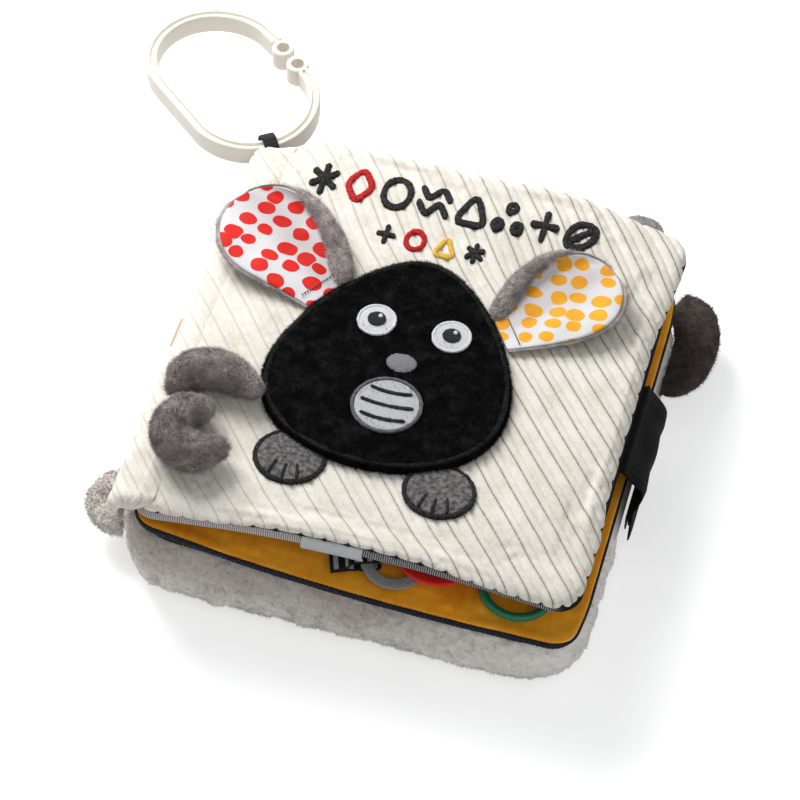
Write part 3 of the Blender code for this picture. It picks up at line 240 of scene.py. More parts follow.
def sweep(piece, centres, sides, section, ups=up_way, closed=False, **values):
    """A closed skin along a line: at each centre the section's (side, up) points.

    section is (k, 2), or (n, k, 2) where it changes along the line. sides and ups are one direction
    or one for each centre.
    """
    section = np.broadcast_to(section, (len(centres), *np.shape(section)[-2:]))
    sides, ups = (way if way.ndim == 1 else way[:, None] for way in (sides, ups))
    if sides.shape[-1] == 2:
        sides = np.insert(sides, 2, 0, -1)
    grid = centres[:, None] + sides * section[..., :1] + ups * section[..., 1:]
    spread = {key: np.repeat(value, section.shape[1]) for key, value in values.items()}
    add_skin(piece, grid, closed, **spread)


def fibres(piece, points, faces, density, length, width, lean=(0, 0, 0), ruffle=0.5, keep=None,
           **values):
    """Short tapering hairs, rooted in the faces and standing along their normals.

    density is hairs to the square millimetre. keep gives the share that grows at places with normals.
    """
    corners = np.concatenate([faces[:, [0, 1, 2]], faces[:, [0, 2, 3]]])
    a, b, c = (points[corners[:, k]] for k in range(3))
    cross = np.cross(b - a, c - a)
    area = np.linalg.norm(cross, axis=1) / 2
    normal = cross / np.maximum(2 * area, 1e-12)[:, None]
    if keep is not None:
        area = area * keep((a + b + c) / 3, normal)
    count = int(area.sum() * 1e6 * density) // 1
    chosen = random.choice(len(corners), count, p=area / area.sum())
    u, v = random.random((2, count, 1))
    flip = u + v > 1
    u, v = np.where(flip, 1 - u, u), np.where(flip, 1 - v, v)
    root = a[chosen] + (b - a)[chosen] * u + (c - a)[chosen] * v
    leaning = lean(root) if callable(lean) else np.asarray(lean)
    stand = unit(normal[chosen] + leaning + random.normal(0, ruffle, (count, 3)))
    aside = unit(np.cross(stand, random.normal(0, 1, (count, 3))))
    other = np.cross(stand, aside)
    long = length * random.uniform(0.6, 1.15, (count, 1))
    thick = width * random.uniform(0.7, 1.2, (count, 1)) / 2
    root = root - stand * (length * 0.15)
    feet = [root + (aside * x + other * y) * thick for x, y in circle(3)]
    shape = np.array([[0, 1, 3], [1, 2, 3], [2, 0, 3], [0, 2, 1]])
    tone = np.repeat(random.uniform(-1, 1, count), 4)
    piece.add(np.stack([*feet, root + stand * long], 1),
              (np.arange(count)[:, None, None] * 4 + shape).reshape(-1, 3),
              hair=np.tile([0, 0, 0, 1.0], count), tone=tone, **values)


def profile_table(profile):
    """A leaf's edge profile as tables of run, inset, height and their slopes."""
    fine = catmull(profile, 14)
    run = run_along(fine)
    return run, fine[:, 0], fine[:, 1], np.gradient(fine[:, 0], run), np.gradient(fine[:, 1], run)


def leaf(size, profile, step):
    """One face of a padded leaf with round corners.

    profile is (inset from the outline, height) from the seam to where the face is level. It gives
    the points, their outward normals, the run from the seam, the grid's shape and the seam's ring.
    """
    run, inset, height, inset_slope, height_slope = profile_table(profile)
    reach = size.corner + run[-1] - inset[-1]
    core = np.array([size.width, size.height]) / 2 - size.corner
    q = np.stack(np.meshgrid(*(np.linspace(-h, h, int(2 * h / step) + 1) for h in core + reach)), -1)
    over = np.maximum(np.abs(q) - core, 0) / reach
    out = reach * over * np.sqrt(1 - over[..., ::-1] ** 2 / 2)
    length = np.linalg.norm(out, axis=-1)
    outside = length > 1e-9
    t = np.where(outside, reach - length, reach + (core - np.abs(q)).min(-1))
    direction = out / np.maximum(length, 1e-9)[..., None] * np.sign(q)
    radius = size.corner - np.interp(t, run, inset)
    xy = np.where(outside[..., None], np.clip(q, -core, core) + direction * radius[..., None], q)
    rise = np.where(outside, np.interp(t, run, height_slope), 0)
    level = np.where(outside, np.interp(t, run, inset_slope), 1)
    normals = np.dstack([direction * rise[..., None], level])
    points = np.dstack([xy + [size.centre, 0], np.interp(t, run, height)])
    numbers = np.arange(t.size).reshape(t.shape)
    ring = np.concatenate([numbers[0], numbers[1:, -1], numbers[-1, -2::-1], numbers[-2:0:-1, 0]])
    return points.reshape(-1, 3), normals.reshape(-1, 3), t.reshape(-1), t.shape, ring


def rim(size, profile, spacing):
    """A band round a leaf: its edge profile, from the top down, carried round the outline.

    It gives the points and their outward normals as (around, along the profile) grids.
    """
    run, *tables = profile_table(profile)
    spots = np.linspace(0, run[-1], int(run[-1] / spacing) + 1)
    inset, height, inset_slope, height_slope = (np.interp(spots, run, table) for table in tables)
    half = np.array([size.width, size.height]) / 2 - size.corner
    turns = max(int(size.corner * math.pi / 2 / spacing), 6)
    cores, ways = [], []
    for (sx, sy, start), (nx, ny, _) in zip(leaf_corners, leaf_corners[1:] + leaf_corners[:1]):
        here, onward = half * [sx, sy], half * [nx, ny]
        for turn in np.radians(start + np.linspace(0, 90, turns)):
            cores.append(here)
            ways.append([math.cos(turn), math.sin(turn)])
        steps = int(np.linalg.norm(onward - here) / spacing)
        cores += [here + (onward - here) * share for share in np.arange(1, steps) / steps]
        ways += [ways[-1]] * (steps - 1)
    cores, ways = np.array(cores)[:, None], np.array(ways)[:, None]
    xy = cores + ways * (size.corner - inset)[:, None] + [size.centre, 0]
    points = np.dstack([xy, np.broadcast_to(height, xy.shape[:2])])
    normals = np.dstack([ways * height_slope[:, None], np.broadcast_to(inset_slope, xy.shape[:2])])
    return points, -normals


def outline(size, inset, spacing):
    """A leaf's outline: places and outward directions, anticlockwise."""
    radius = max(size.corner - inset, size.corner / 4)
    half = np.array([size.width, size.height]) / 2 - inset - radius
    places = []
    for sx, sy, start in leaf_corners:
        for turn in np.radians(start + np.linspace(0, 90, 13)):
            way = np.array([math.cos(turn), math.sin(turn)])
            places.append(half * [sx, sy] + radius * way + [size.centre, 0])
    places = resample(places, spacing, closed=True)
    return places, -left_of(directions(places, closed=True))


def edge_thread(name, centres, out, pitch, half, swell, *made_of):
    """Thread sewn over a leaf's edge; swell is its thickness at each (place, angle)."""
    piece = Piece(name)
    section = circle(swell.shape[1]) * half * swell[..., None]
    sweep(piece, centres, out, section, closed=True, run=np.arange(len(out)) * pitch)
    piece.make(*made_of)


def front_share(points, size, reach):
    """1 in the middle of a leaf's front edge, fading to 0 at its corners and inwards."""
    along = np.clip((points[..., 0] - size.centre) / size.width + 0.5, 0, 1)
    return np.sin(math.pi * along) * smooth((reach - size.height / 2 - points[..., 1]) / reach)


def raise_ends(points):
    """Front cover points with its front edge held up, its head bowed out and a corner drawn out."""
    x, y = points[..., 0], points[..., 1]
    front = front_share(points, cover_size, cover_front_reach)
    along = np.clip((x - cover_size.centre) / cover_size.width + 0.5, 0, 1)
    depth = (cover_head_reach - cover_size.height / 2 + y) / cover_head_reach
    head = (0.15 + 0.85 * smooth(along / 0.12)) * smooth((1 - along) / 0.30) * smooth(depth)
    corner = smooth((x - 0.050) / 0.038) * smooth((y - 0.050) / 0.040)
    return points + np.stack([0.0024 * corner, 0.0030 * front + 0.0085 * head + 0.0030 * corner,
                              cover_front_lift * front + 0.0050 * head], -1)


def bulge_page(points):
    """Page points with its front edge bowed out, on its tilted plane."""
    x, y = points[..., 0], points[..., 1]
    front = front_share(points, page_size, 0.026)
    drawn = smooth((-0.030 - x) / 0.055) * smooth((-0.045 - y) / 0.045)
    out = 0.0018 * smooth((x - 0.055) / 0.035) * smooth((0.092 - np.abs(y)) / 0.025)
    return points + np.stack([out, 0.0008 * drawn - 0.0035 * front,
                              page_mid_z - leaf_slope * (x + out)], -1)


def puffed(points, shape, growth, pressure, cap):
    """How far cloth blows out when a sheet held at its rim is stuffed: a move for each point.

    The sheet is a little larger than its rim allows, so it puckers from the seam.
    """
    mesh = bpy.data.meshes.new("stuffing")
    mesh.from_pydata(points.tolist(), [], grid_faces(*shape).tolist())
    sheet = new_object("stuffing", mesh)
    numbers = np.arange(len(points)).reshape(shape)
    held = np.unique(np.concatenate([numbers[0], numbers[-1], numbers[:, 0], numbers[:, -1]]))
    sheet.vertex_groups.new(name="seam").add(held.tolist(), 1.0, "REPLACE")
    cloth = sheet.modifiers.new("cloth", "CLOTH")
    for key, value in {"vertex_group_mass": "seam", "quality": 6, "mass": 0.05,
                       "tension_stiffness": 12, "compression_stiffness": 12, "shear_stiffness": 6,
                       "bending_stiffness": 0.02, "use_pressure": True,
                       "uniform_pressure_force": pressure, "shrink_min": -growth,
                       "shrink_max": -growth}.items():
        setattr(cloth.settings, key, value)
    cloth.settings.effector_weights.gravity = 0
    cloth.collision_settings.use_collision = False
    cloth.point_cache.frame_start, cloth.point_cache.frame_end = 1, stuffing_frames
    for number in range(1, stuffing_frames + 1):
        bpy.context.scene.frame_set(number)
    made = sheet.evaluated_get(bpy.context.evaluated_depsgraph_get()).to_mesh()
    moved = np.array([v.co for v in made.vertices]) - points
    bpy.data.objects.remove(sheet)
    bpy.context.scene.frame_set(1)
    far = np.linalg.norm(moved, axis=1)
    return moved * (cap * np.tanh(far / cap) / np.maximum(far, 1e-9))[:, None]


def stuffed_leaf(size, profile, coarse_step, step, growth, pressure, cap):
    """What leaf() gives, with its points moved as the simulated stuffing moves a coarser leaf."""
    coarse, _, _, coarse_shape, _ = leaf(size, profile, coarse_step)
    grid = puffed(coarse, coarse_shape, growth, pressure, cap).reshape(*coarse_shape, 3)
    points, normals, run, shape, ring = leaf(size, profile, step)
    for axis in (0, 1):
        spots = np.linspace(0, coarse_shape[axis] - 1, shape[axis])
        low = np.minimum(spots.astype(int), coarse_shape[axis] - 2)
        share = smooth(spots - low).reshape((1, -1, 1) if axis else (-1, 1, 1))
        grid = np.take(grid, low, axis) * (1 - share) + np.take(grid, low + 1, axis) * share
    return points + grid.reshape(-1, 3) * [1, 1, 0.8], normals, run, shape, ring


# Materials

class Field:
    """A value in a node tree, with plain arithmetic."""

    def __init__(self, cloth, socket):
        self.cloth, self.socket = cloth, socket

    def maths(self, operation, other=0.0):
        return self.cloth.node("Math", {0: self, 1: other}, operation=operation)

    def __add__(self, other):
        return self.maths("ADD", other)

    def __sub__(self, other):
        return self.maths("SUBTRACT", other)

    def __mul__(self, other):
        return self.maths("MULTIPLY", other)

    def __truediv__(self, other):
        return self.maths("DIVIDE", other)

    def __abs__(self):
        return self.maths("ABSOLUTE")

    def spread(self, low, high, to_low=0.0, to_high=1.0):
        return self.cloth.node("MapRange", {0: self, 1: low, 2: high, 3: to_low, 4: to_high})

    def output(self, name):
        """Another output of the same node."""
        return Field(self.cloth, self.socket.node.outputs[name])


class Nodes:
    """A node tree and a short way to add nodes to it."""

    def __init__(self, owner):
        owner.use_nodes = True
        self.tree = owner.node_tree

    def plug(self, value, socket):
        """Link a value's socket, or set a plain value."""
        if isinstance(value, Field):
            self.tree.links.new(value.socket, socket)
        elif isinstance(value, tuple) and len(socket.default_value) == 4 and len(value) == 3:
            socket.default_value = (*value, 1.0)
        else:
            socket.default_value = value

    def fill(self, node, inputs):
        for key, value in inputs.items():
            self.plug(value, node.inputs[key])

    def node(self, kind, inputs, output=0, **settings):
        made = self.tree.nodes.new("ShaderNode" + kind)
        for key, value in settings.items():
            setattr(made, key, value)
        self.fill(made, inputs)
        return Field(self, made.outputs[output])


class Cloth(Nodes):
    """A Principled material."""

    def __init__(self, name, roughness=0.9, sheen=0.0, sheen_roughness=0.4, sheen_tint=(1, 1, 1),
                 shine=0.12):
        self.material = bpy.data.materials.new(name)
        super().__init__(self.material)
        self.shader = self.tree.nodes["Principled BSDF"]
        self.fill(self.shader, {"Roughness": roughness, "Specular IOR Level": shine,
                                "Sheen Weight": sheen, "Sheen Roughness": sheen_roughness,
                                "Sheen Tint": sheen_tint})
        self.place = self.node("TexCoord", {}, "Object")

    def axis(self, number):
        return self.node("SeparateXYZ", {0: self.place}, number)

    def attribute(self, name):
        return self.node("Attribute", {}, "Fac", attribute_name=name)

    def stretched(self, scale, turn, vector=None):
        """Object coordinates, turned about Z and then scaled."""
        return self.node("Mapping", {"Vector": vector or self.place, "Scale": scale,
                                     "Rotation": (0, 0, turn)})

    def noise(self, size, detail=2.0, vector=None, rough=0.5):
        return self.node("TexNoise", {"Vector": vector or self.place, "Scale": 1 / size,
                                      "Detail": detail, "Roughness": rough}, "Fac")

    def waves(self, pitch, way, distortion, vector=None, detail_scale=1.0):
        return self.node("TexWave", {"Vector": vector or self.place, "Scale": 0.31 / pitch,
                                     "Distortion": distortion, "Detail Scale": detail_scale}, "Fac",
                         wave_type="BANDS", bands_direction=way)

    def ramp(self, fac, *stops):
        """A smooth colour ramp from (position, colour) stops."""
        made = self.node("ValToRGB", {"Fac": fac})
        elements = made.socket.node.color_ramp.elements
        elements.remove(elements[1])
        for i, (position, colour) in enumerate(stops):
            stop = elements.new(position) if i else elements[0]
            stop.position, stop.color = position, (*colour, 1.0)
        return made

    def blend(self, fac, a, b, mode="MIX"):
        return self.node("Mix", {0: fac, 6: a, 7: b}, 2, data_type="RGBA", blend_type=mode)

    def done(self, colour, height, depth, strength, roughness=None):
        """The material with its colour and its bumps."""
        bump = self.node("Bump", {"Height": height, "Distance": depth, "Strength": strength})
        self.fill(self.shader, {"Base Color": colour, "Normal": bump})
        if roughness:
            self.fill(self.shader, {"Roughness": roughness})
        return self.material


def pile(name, dark, light, size, sheen=0.3, stops=(0.36, 0.64), hairs=0.11):
    """Short plush: blotches where the pile lies different ways, over fine hair with painted shade at
    its roots.
    """
    cloth = Cloth(name, 0.95, sheen, 0.5, tuple(min(c * 1.6 + 0.1, 1) for c in light), 0.05)
    fine = cloth.noise(size * 0.5, 3, rough=0.7)
    both = cloth.noise(size * 5, 3) * 0.55 + fine * 0.45 + cloth.attribute("tone") * hairs
    colour = cloth.ramp(both, (stops[0], dark), (stops[1], light))
    # Painted shade: the hairs darker towards their roots, as dark as the skin beneath.
    tip = cloth.attribute("hair").spread(0, 1, 0.75, 1.0)
    return cloth.done(cloth.blend(1.0, colour, tip, "MULTIPLY"), fine, 0.5 * MM, 0.8)


def ribbed_plush():
    """Cream plush in sewn channels: a thin grey line and painted shade in each groove, soft pile
    between.
    """
    cloth = Cloth("cream_ribbed_plush", 0.95, 0.15, 0.5, (1.0, 0.97, 0.92), 0.05)
    near = abs(cloth.attribute("rib").maths("FRACT") - 0.5)
    fine = cloth.noise(0.9 * MM, 4, rough=0.8)
    colour = cloth.ramp(cloth.noise(9 * MM, 3) * 0.45 + fine * 0.55, (0.34, (0.66, 0.61, 0.52)),
                        (0.50, (0.80, 0.76, 0.68)), (0.64, (0.87, 0.84, 0.78)))
    # Painted shade: the grooves' darkening grows from faint at the spine side to full towards the fore
    # edge, away from the key light.
    groove_shade_to_fore_edge = cloth.axis(0).spread(-0.060, 0.050, 0.35, 1.0)
    # Painted shade in each groove's hollow.
    colour = cloth.blend(near.spread(0.30, 0.5) * 0.34 * groove_shade_to_fore_edge, colour, (0.50, 0.45, 0.38))
    # The thin grey line in each groove, faded towards the spine by the same painted shade.
    line = near.spread(0.435, 0.485) * cloth.noise(0.7 * MM, 1).spread(0.3, 0.6, 0.45, 0.95)
    colour = cloth.blend(line * groove_shade_to_fore_edge, colour, (0.19, 0.165, 0.145))
    return cloth.done(colour, fine, 0.45 * MM, 0.8)


def sherpa():
    """Curly beige-grey fleece: pale curls, painted shade in the creases and under the leaves' spine
    side.
    """
    cloth = Cloth("curly_fleece", 1.0, 0.15, 0.6, (1.0, 0.97, 0.93), 0.03)
    curls = cloth.noise(2.6 * MM, 3, rough=0.6)
    # Partly random tone, partly painted shade: darker where the curls' bump is low.
    colour = cloth.ramp(cloth.noise(9 * MM, 3) * 0.5 + curls * 0.5, (0.36, (0.52, 0.48, 0.435)),
                        (0.50, (0.74, 0.70, 0.65)), (0.64, (0.88, 0.845, 0.80)))
    # Painted shade in the creases between the curls, from the curl height.
    crease = cloth.attribute("high").spread(0.2, -1.5)
    colour = cloth.blend(crease * 0.5, colour, (0.30, 0.27, 0.24))
    x, z = cloth.axis(0), cloth.axis(2)
    # Painted shade under the overhanging leaves: darker higher up and towards the spine.
    under = z.spread(0.009, 0.026) * x.spread(0.085, 0.020)
    colour = cloth.blend(under * 0.72, colour, (0.34, 0.30, 0.265))
    # Painted light: the fleece lighter towards the fore edge.
    colour = cloth.blend(x.spread(0.015, 0.090) * 0.60, colour, (0.90, 0.87, 0.83))
    return cloth.done(colour, curls, 0.6 * MM, 0.6)


def velour():
    """Mustard velour, darker where the pile is brushed the other way, with painted shade towards the
    spine.
    """
    cloth = Cloth("mustard_velour", 0.85, 0.18, 0.35, (1.0, 0.60, 0.15), 0.08)
    streaks = cloth.noise(3.0 * MM, 3, cloth.stretched((1, 0.35, 1), 0.3))
    fine = cloth.noise(0.6 * MM, 3, rough=0.7)
    both = cloth.noise(20 * MM, 3) * 0.45 + (streaks * 0.3 + fine * 0.25)
    colour = cloth.ramp(both, (0.36, (0.74, 0.250, 0.012)), (0.50, (0.88, 0.355, 0.020)),
                        (0.66, (0.92, 0.44, 0.040)))
    # Painted shade: darker towards the spine, where the front cover shadows the page.
    shade = cloth.axis(0).spread(-0.080, 0.010, 0.45, 0.0)
    return cloth.done(cloth.blend(shade, colour, (0.50, 0.17, 0.010)), fine, 0.25 * MM, 0.7)


def satin(name, colour, lighter, sheen, roughness, shine=0.4):
    """A smooth woven cloth: fine twill lines and a soft shine."""
    cloth = Cloth(name, roughness, sheen, 0.3, (0.8, 0.8, 0.85), shine)
    twill = cloth.waves(0.5 * MM, "DIAGONAL", 0.3, cloth.stretched((1, 1, 1), 0.8))
    return cloth.done(cloth.blend(cloth.noise(9 * MM, 3), colour, lighter), twill, 0.06 * MM, 0.5)


def woven(name, colour, lighter, pitch=0.5 * MM, roughness=0.75):
    """A plain woven tape: threads over and under."""
    cloth = Cloth(name, roughness, 0.15)
    x, y, z = (cloth.waves(pitch, way, 0.4) for way in "XYZ")
    weave = (x * y).maths("MAXIMUM", z)
    return cloth.done(cloth.blend(weave * 0.8, colour, lighter), weave, 0.12 * MM, 0.6)


def striped(run):
    """0 to 1 and back for each whole number of run."""
    return (run * (2 * math.pi)).maths("SINE").spread(-1, 1)


def stitched(name, colour, lighter, pitch=0.42 * MM, roughness=0.5):
    """Satin stitch: close threads across the run of the sewn line, some catching the light."""
    cloth = Cloth(name, roughness, 0.1, 0.3)
    thread = striped(cloth.attribute("run") / pitch + cloth.noise(1.5 * MM, 2) * 1.5)
    patchy = cloth.noise(0.8 * MM, 3, rough=0.7).spread(0.46, 0.66)
    shade = cloth.blend(patchy * thread.spread(0, 1, 0.5, 1.0), colour, lighter)
    return cloth.done(shade, thread, 0.18 * MM, 0.9)


def embroidery(name, colour, lighter, turn):
    """A filled embroidered area: long slanting threads."""
    cloth = Cloth(name, 0.55, 0.25, 0.3)
    wave = cloth.waves(0.42 * MM, "X", 1.2, cloth.stretched((1, 1, 0), turn), 0.5)
    shade = (wave + cloth.noise(1.4 * MM, 3, rough=0.7)) * 0.5
    return cloth.done(cloth.blend(shade, colour, lighter), wave, 0.12 * MM, 0.8)


def striped_lining():
    """Fine stripes across the edge: black and white, paler and pinkish towards the spine."""
    cloth = Cloth("striped_lining", 0.85)
    wave = striped(cloth.attribute("along") / (0.85 * MM) + cloth.noise(6 * MM, 2) * 0.9)
    dark = cloth.ramp(wave, (0.30, (0.022, 0.022, 0.026)), (0.72, (0.38, 0.38, 0.40)))
    pale = cloth.ramp(wave, (0.25, (0.20, 0.185, 0.19)), (0.75, (0.62, 0.57, 0.57)))
    x = cloth.axis(0)
    colour = cloth.blend(x.spread(-0.010, -0.016), dark, pale)
    colour = cloth.blend(x.spread(0.080, 0.085), colour, (0.012, 0.012, 0.013))
    return cloth.done(colour, wave + cloth.noise(0.4 * MM, 2), 0.10 * MM, 0.7)


def spotted(name, spot, spot_light, pitch, seed):
    """White printed cotton with uneven oval spots, in shade where the cloth is hollow."""
    cloth = Cloth(name, 0.6, 0.12)
    wander = cloth.noise(9 * MM, 1.0).output("Color")
    shifted = cloth.node("VectorMath", {0: cloth.place, 1: (seed, seed / 2, 0)}, operation="ADD")
    moved = cloth.node("VectorMath", {0: wander, 1: (2.6 * MM, 2.6 * MM, 0), 2: shifted},
                       operation="MULTIPLY_ADD")
    cells = cloth.node("TexVoronoi", {"Vector": cloth.stretched((1.0, 1.28, 0.0), seed * 40, moved),
                                      "Scale": 1 / pitch, "Randomness": 0.40}, "Distance",
                       voronoi_dimensions="2D")
    chance = cloth.node("SeparateColor", {0: cells.output("Color")})
    inside = (chance.spread(0, 1, 0.31, 0.43) - cells).spread(-0.012, 0.012)
    soft = cloth.noise(10 * MM, 2)
    white = cloth.blend(soft, (0.62, 0.61, 0.63), (0.78, 0.77, 0.775))
    colour = cloth.blend(inside, white, cloth.blend(soft, spot, spot_light))
    colour = cloth.blend(cloth.attribute("hollow") * 0.75, colour, (0.70, 0.64, 0.63), "MULTIPLY")
    return cloth.done(colour, cloth.noise(0.35 * MM, 2), 0.05 * MM, 0.5)


def felt(name, dark, light):
    """Thick felt with loose fibres of both colours."""
    cloth = Cloth(name, 1.0, 0.2, 0.5)
    fine = cloth.noise(0.5 * MM, 3, rough=0.8)
    return cloth.done(cloth.ramp(fine, (0.38, dark), (0.62, light)), fine, 0.15 * MM, 0.6)


def moulded(name, colour, lighter, roughness):
    """Moulded plastic or rubber with faint flow marks."""
    cloth = Cloth(name, roughness, shine=0.4)
    gloss = cloth.noise(7 * MM, 2).spread(0.3, 0.7, roughness - 0.04, roughness + 0.06)
    shade = cloth.blend(cloth.noise(18 * MM, 2), colour, lighter)
    return cloth.done(shade, cloth.noise(0.6 * MM, 2), 0.02 * MM, 0.3, gloss)


def band_with_squares():
    """Black woven tape with pale squares along it."""
    cloth = Cloth("band_with_squares", 0.6)
    step = (cloth.attribute("along") / (4.6 * MM)).maths("FRACT")
    inside = abs(step - 0.5).maths("LESS_THAN", 0.20) \
        * abs(cloth.attribute("over")).maths("LESS_THAN", 0.42)
    colour = cloth.blend(inside, (0.009, 0.009, 0.011), (0.36, 0.36, 0.38))
    return cloth.done(colour, cloth.noise(0.4 * MM, 2), 0.08 * MM, 0.7)


cream_plush = ribbed_plush()
fleece = sherpa()
mustard = velour()
black_satin = satin("black_satin", (0.003, 0.003, 0.0035), (0.009, 0.009, 0.010), 0, 0.55, 0.05)
pale_satin = satin("pale_satin", (0.44, 0.46, 0.47), (0.56, 0.58, 0.59), 0.2, 0.35)
lining_stripes = striped_lining()
black_thread = stitched("black_stitching", (0.004, 0.004, 0.005), (0.075, 0.072, 0.070))
border_thread = stitched("border_stitching", (0.003, 0.003, 0.0035), (0.016, 0.016, 0.017))
root_thread = stitched("root_stitching", (0.16, 0.15, 0.15), (0.34, 0.33, 0.33))
navy_thread = stitched("navy_stitching", (0.007, 0.009, 0.013), (0.040, 0.055, 0.085), 1.0 * MM, 0.7)
red_thread = stitched("red_stitching", (0.44, 0.006, 0.008), (0.80, 0.06, 0.06))
yellow_thread = stitched("yellow_stitching", (0.74, 0.42, 0.04), (0.95, 0.72, 0.24))
grey_thread = stitched("grey_stitching", (0.10, 0.10, 0.105), (0.24, 0.24, 0.25))
# The black plush's sparse lighter blotches are painted glints: shine streaks on the fur.
black_pile = pile("black_plush", (0.0026, 0.0026, 0.0028), (0.026, 0.026, 0.028), 1.0 * MM, 0.0,
                  (0.46, 0.74), 0.07)
grey_pile = pile("grey_plush", (0.175, 0.148, 0.138), (0.68, 0.610, 0.585), 1.0 * MM, 0.15,
                 (0.32, 0.64))
# A lighter, warmer copy of the grey plush for the ears; the extra lightness is painted light on the
# ears' lit sides.
ear_pile_painted_lighter = pile("ear_plush", (0.24, 0.200, 0.190), (0.80, 0.725, 0.70), 1.0 * MM, 0.15, (0.32, 0.64))
dark_pile = pile("dark_plush", (0.060, 0.045, 0.040), (0.16, 0.130, 0.118), 1.2 * MM, 0.2)
pale_pile = pile("pale_plush", (0.30, 0.29, 0.285), (0.56, 0.545, 0.54), 0.9 * MM, 0.15)
leg_pile = pile("leg_plush", (0.50, 0.485, 0.475), (0.76, 0.745, 0.73), 0.9 * MM, 0.15)
hoof_pile = pile("hoof_plush", (0.34, 0.32, 0.31), (0.60, 0.575, 0.56), 0.9 * MM, 0.15)
paw_pile = pile("paw_plush", (0.090, 0.086, 0.084), (0.40, 0.39, 0.385), 0.35 * MM, 0.1,
                (0.40, 0.62), 0.13)
eye_white = embroidery("eye_embroidery", (0.55, 0.55, 0.56), (0.80, 0.80, 0.81), 0.6)
eye_black = embroidery("pupil_embroidery", (0.006, 0.006, 0.007), (0.03, 0.03, 0.03), 1.2)
nose_grey = embroidery("nose_embroidery", (0.16, 0.16, 0.165), (0.30, 0.30, 0.31), 0.2)
belly_pale = embroidery("belly_embroidery", (0.42, 0.44, 0.44), (0.62, 0.64, 0.64), 1.5)
red_spots = spotted("red_spotted_cotton", (0.66, 0.014, 0.010), (0.76, 0.028, 0.020), 9.8 * MM, 0.011)
yellow_spots = spotted("yellow_spotted_cotton", (0.78, 0.30, 0.010), (0.92, 0.50, 0.04), 9.2 * MM,
                       0.037)
tan_ribbon = woven("tan_ribbon", (0.50, 0.32, 0.19), (0.78, 0.58, 0.42), 0.45 * MM, 0.45)
black_tape = woven("black_tape", (0.008, 0.008, 0.009), (0.03, 0.03, 0.032))
squares_tape = band_with_squares()
grey_felt = felt("grey_felt", (0.15, 0.15, 0.155), (0.36, 0.36, 0.365))
red_felt = felt("red_felt", (0.70, 0.008, 0.005), (0.90, 0.020, 0.010))
green_rubber = moulded("green_rubber", (0.003, 0.12, 0.050), (0.005, 0.16, 0.068), 0.42)
cream_plastic = moulded("cream_plastic", (0.74, 0.695, 0.60), (0.80, 0.76, 0.67), 0.38)


# Leaves

def rib_phase(places):
    """Which rib a place on the plush lies on; whole numbers are the sewn grooves."""
    flat = np.insert(places[:, :2], 2, 0, 1)
    across = -math.sin(rib_angle) * flat[:, 0] + math.cos(rib_angle) * flat[:, 1]
    return across / rib_pitch + 0.07 * lumps(flat, 30 * MM, 2, 3.1)


def from_groove(phase):
    """How many ribs away the nearest groove is."""
    return np.abs(phase - np.round(phase))


def groove_depth(phase):
    """How deep the sewn channels are at a rib phase: 1 on the thread, 0 on a rib's crown."""
    thread = np.exp(-(from_groove(phase) * rib_pitch / (0.52 * MM)) ** 2)
    return 0.88 * thread + 0.12 * (0.5 + 0.5 * np.cos(2 * math.pi * phase)) ** 2


def nap(points):
    """Uneven lie of the plush's pile."""
    return 0.13 * MM * lumps(points, 2.6 * MM, 2, 1.0) + 0.09 * MM * lumps(points, 1.1 * MM, 1, 5.0)


def along_edge(points, normals):
    """The run along the nearest edge of a leaf."""
    return np.where(np.abs(normals[:, 1]) >= np.abs(normals[:, 0]), points[:, 0], points[:, 1])


def make_cover():
    """The ribbed plush over the front cover."""
    profile = [(0.0016, 0.0004), (0.0001, 0.0016), (-0.0003, 0.0036), (0.0010, 0.0058),
               (0.0040, 0.0069), (0.0085, 0.00735), (0.0200, 0.0075)]
    points, normals, run, shape, ring = stuffed_leaf(cover_size, profile, 3.6 * MM, 0.66 * MM,
                                                     0.035, 3.0, 1.3 * MM)
    points = points - [0, 0, 0.5 * MM]
    phase = rib_phase(points)
    edge = smooth(run / 0.004)
    deep = (0.75 + 0.25 * edge) * (0.62 + 0.38 * smooth((points[:, 0] + 0.05) / 0.10))
    soft = 0.25 * MM * lumps(points * [1, 1, 0], 19 * MM, 2, 8.0) * edge
    scallop = 0.55 * MM * (1 - smooth(run / 0.0075)) * np.sqrt(from_groove(phase) * 2)
    relief["points"] = (points + normals * soft[:, None] + [0, 0, cover_seam_z]).reshape(*shape, 3)
    out = soft + scallop + nap(points) - 1.15 * MM * groove_depth(phase) * deep
    points = points + normals * out[:, None]
    thinned = 1 - cover_thinning * front_share(points, cover_size, 0.022)
    points[:, 2] = points[:, 2] * thinned + cover_seam_z
    piece = Piece("cover_plush")
    add_leaf(piece, raise_ends(points), shape, ring, rib=phase + 0.5)
    piece.make(cream_plush, "front_cover", "plush_cream",
               ["front_cover_plush", "front_cover_wadding"], fill=0.45)


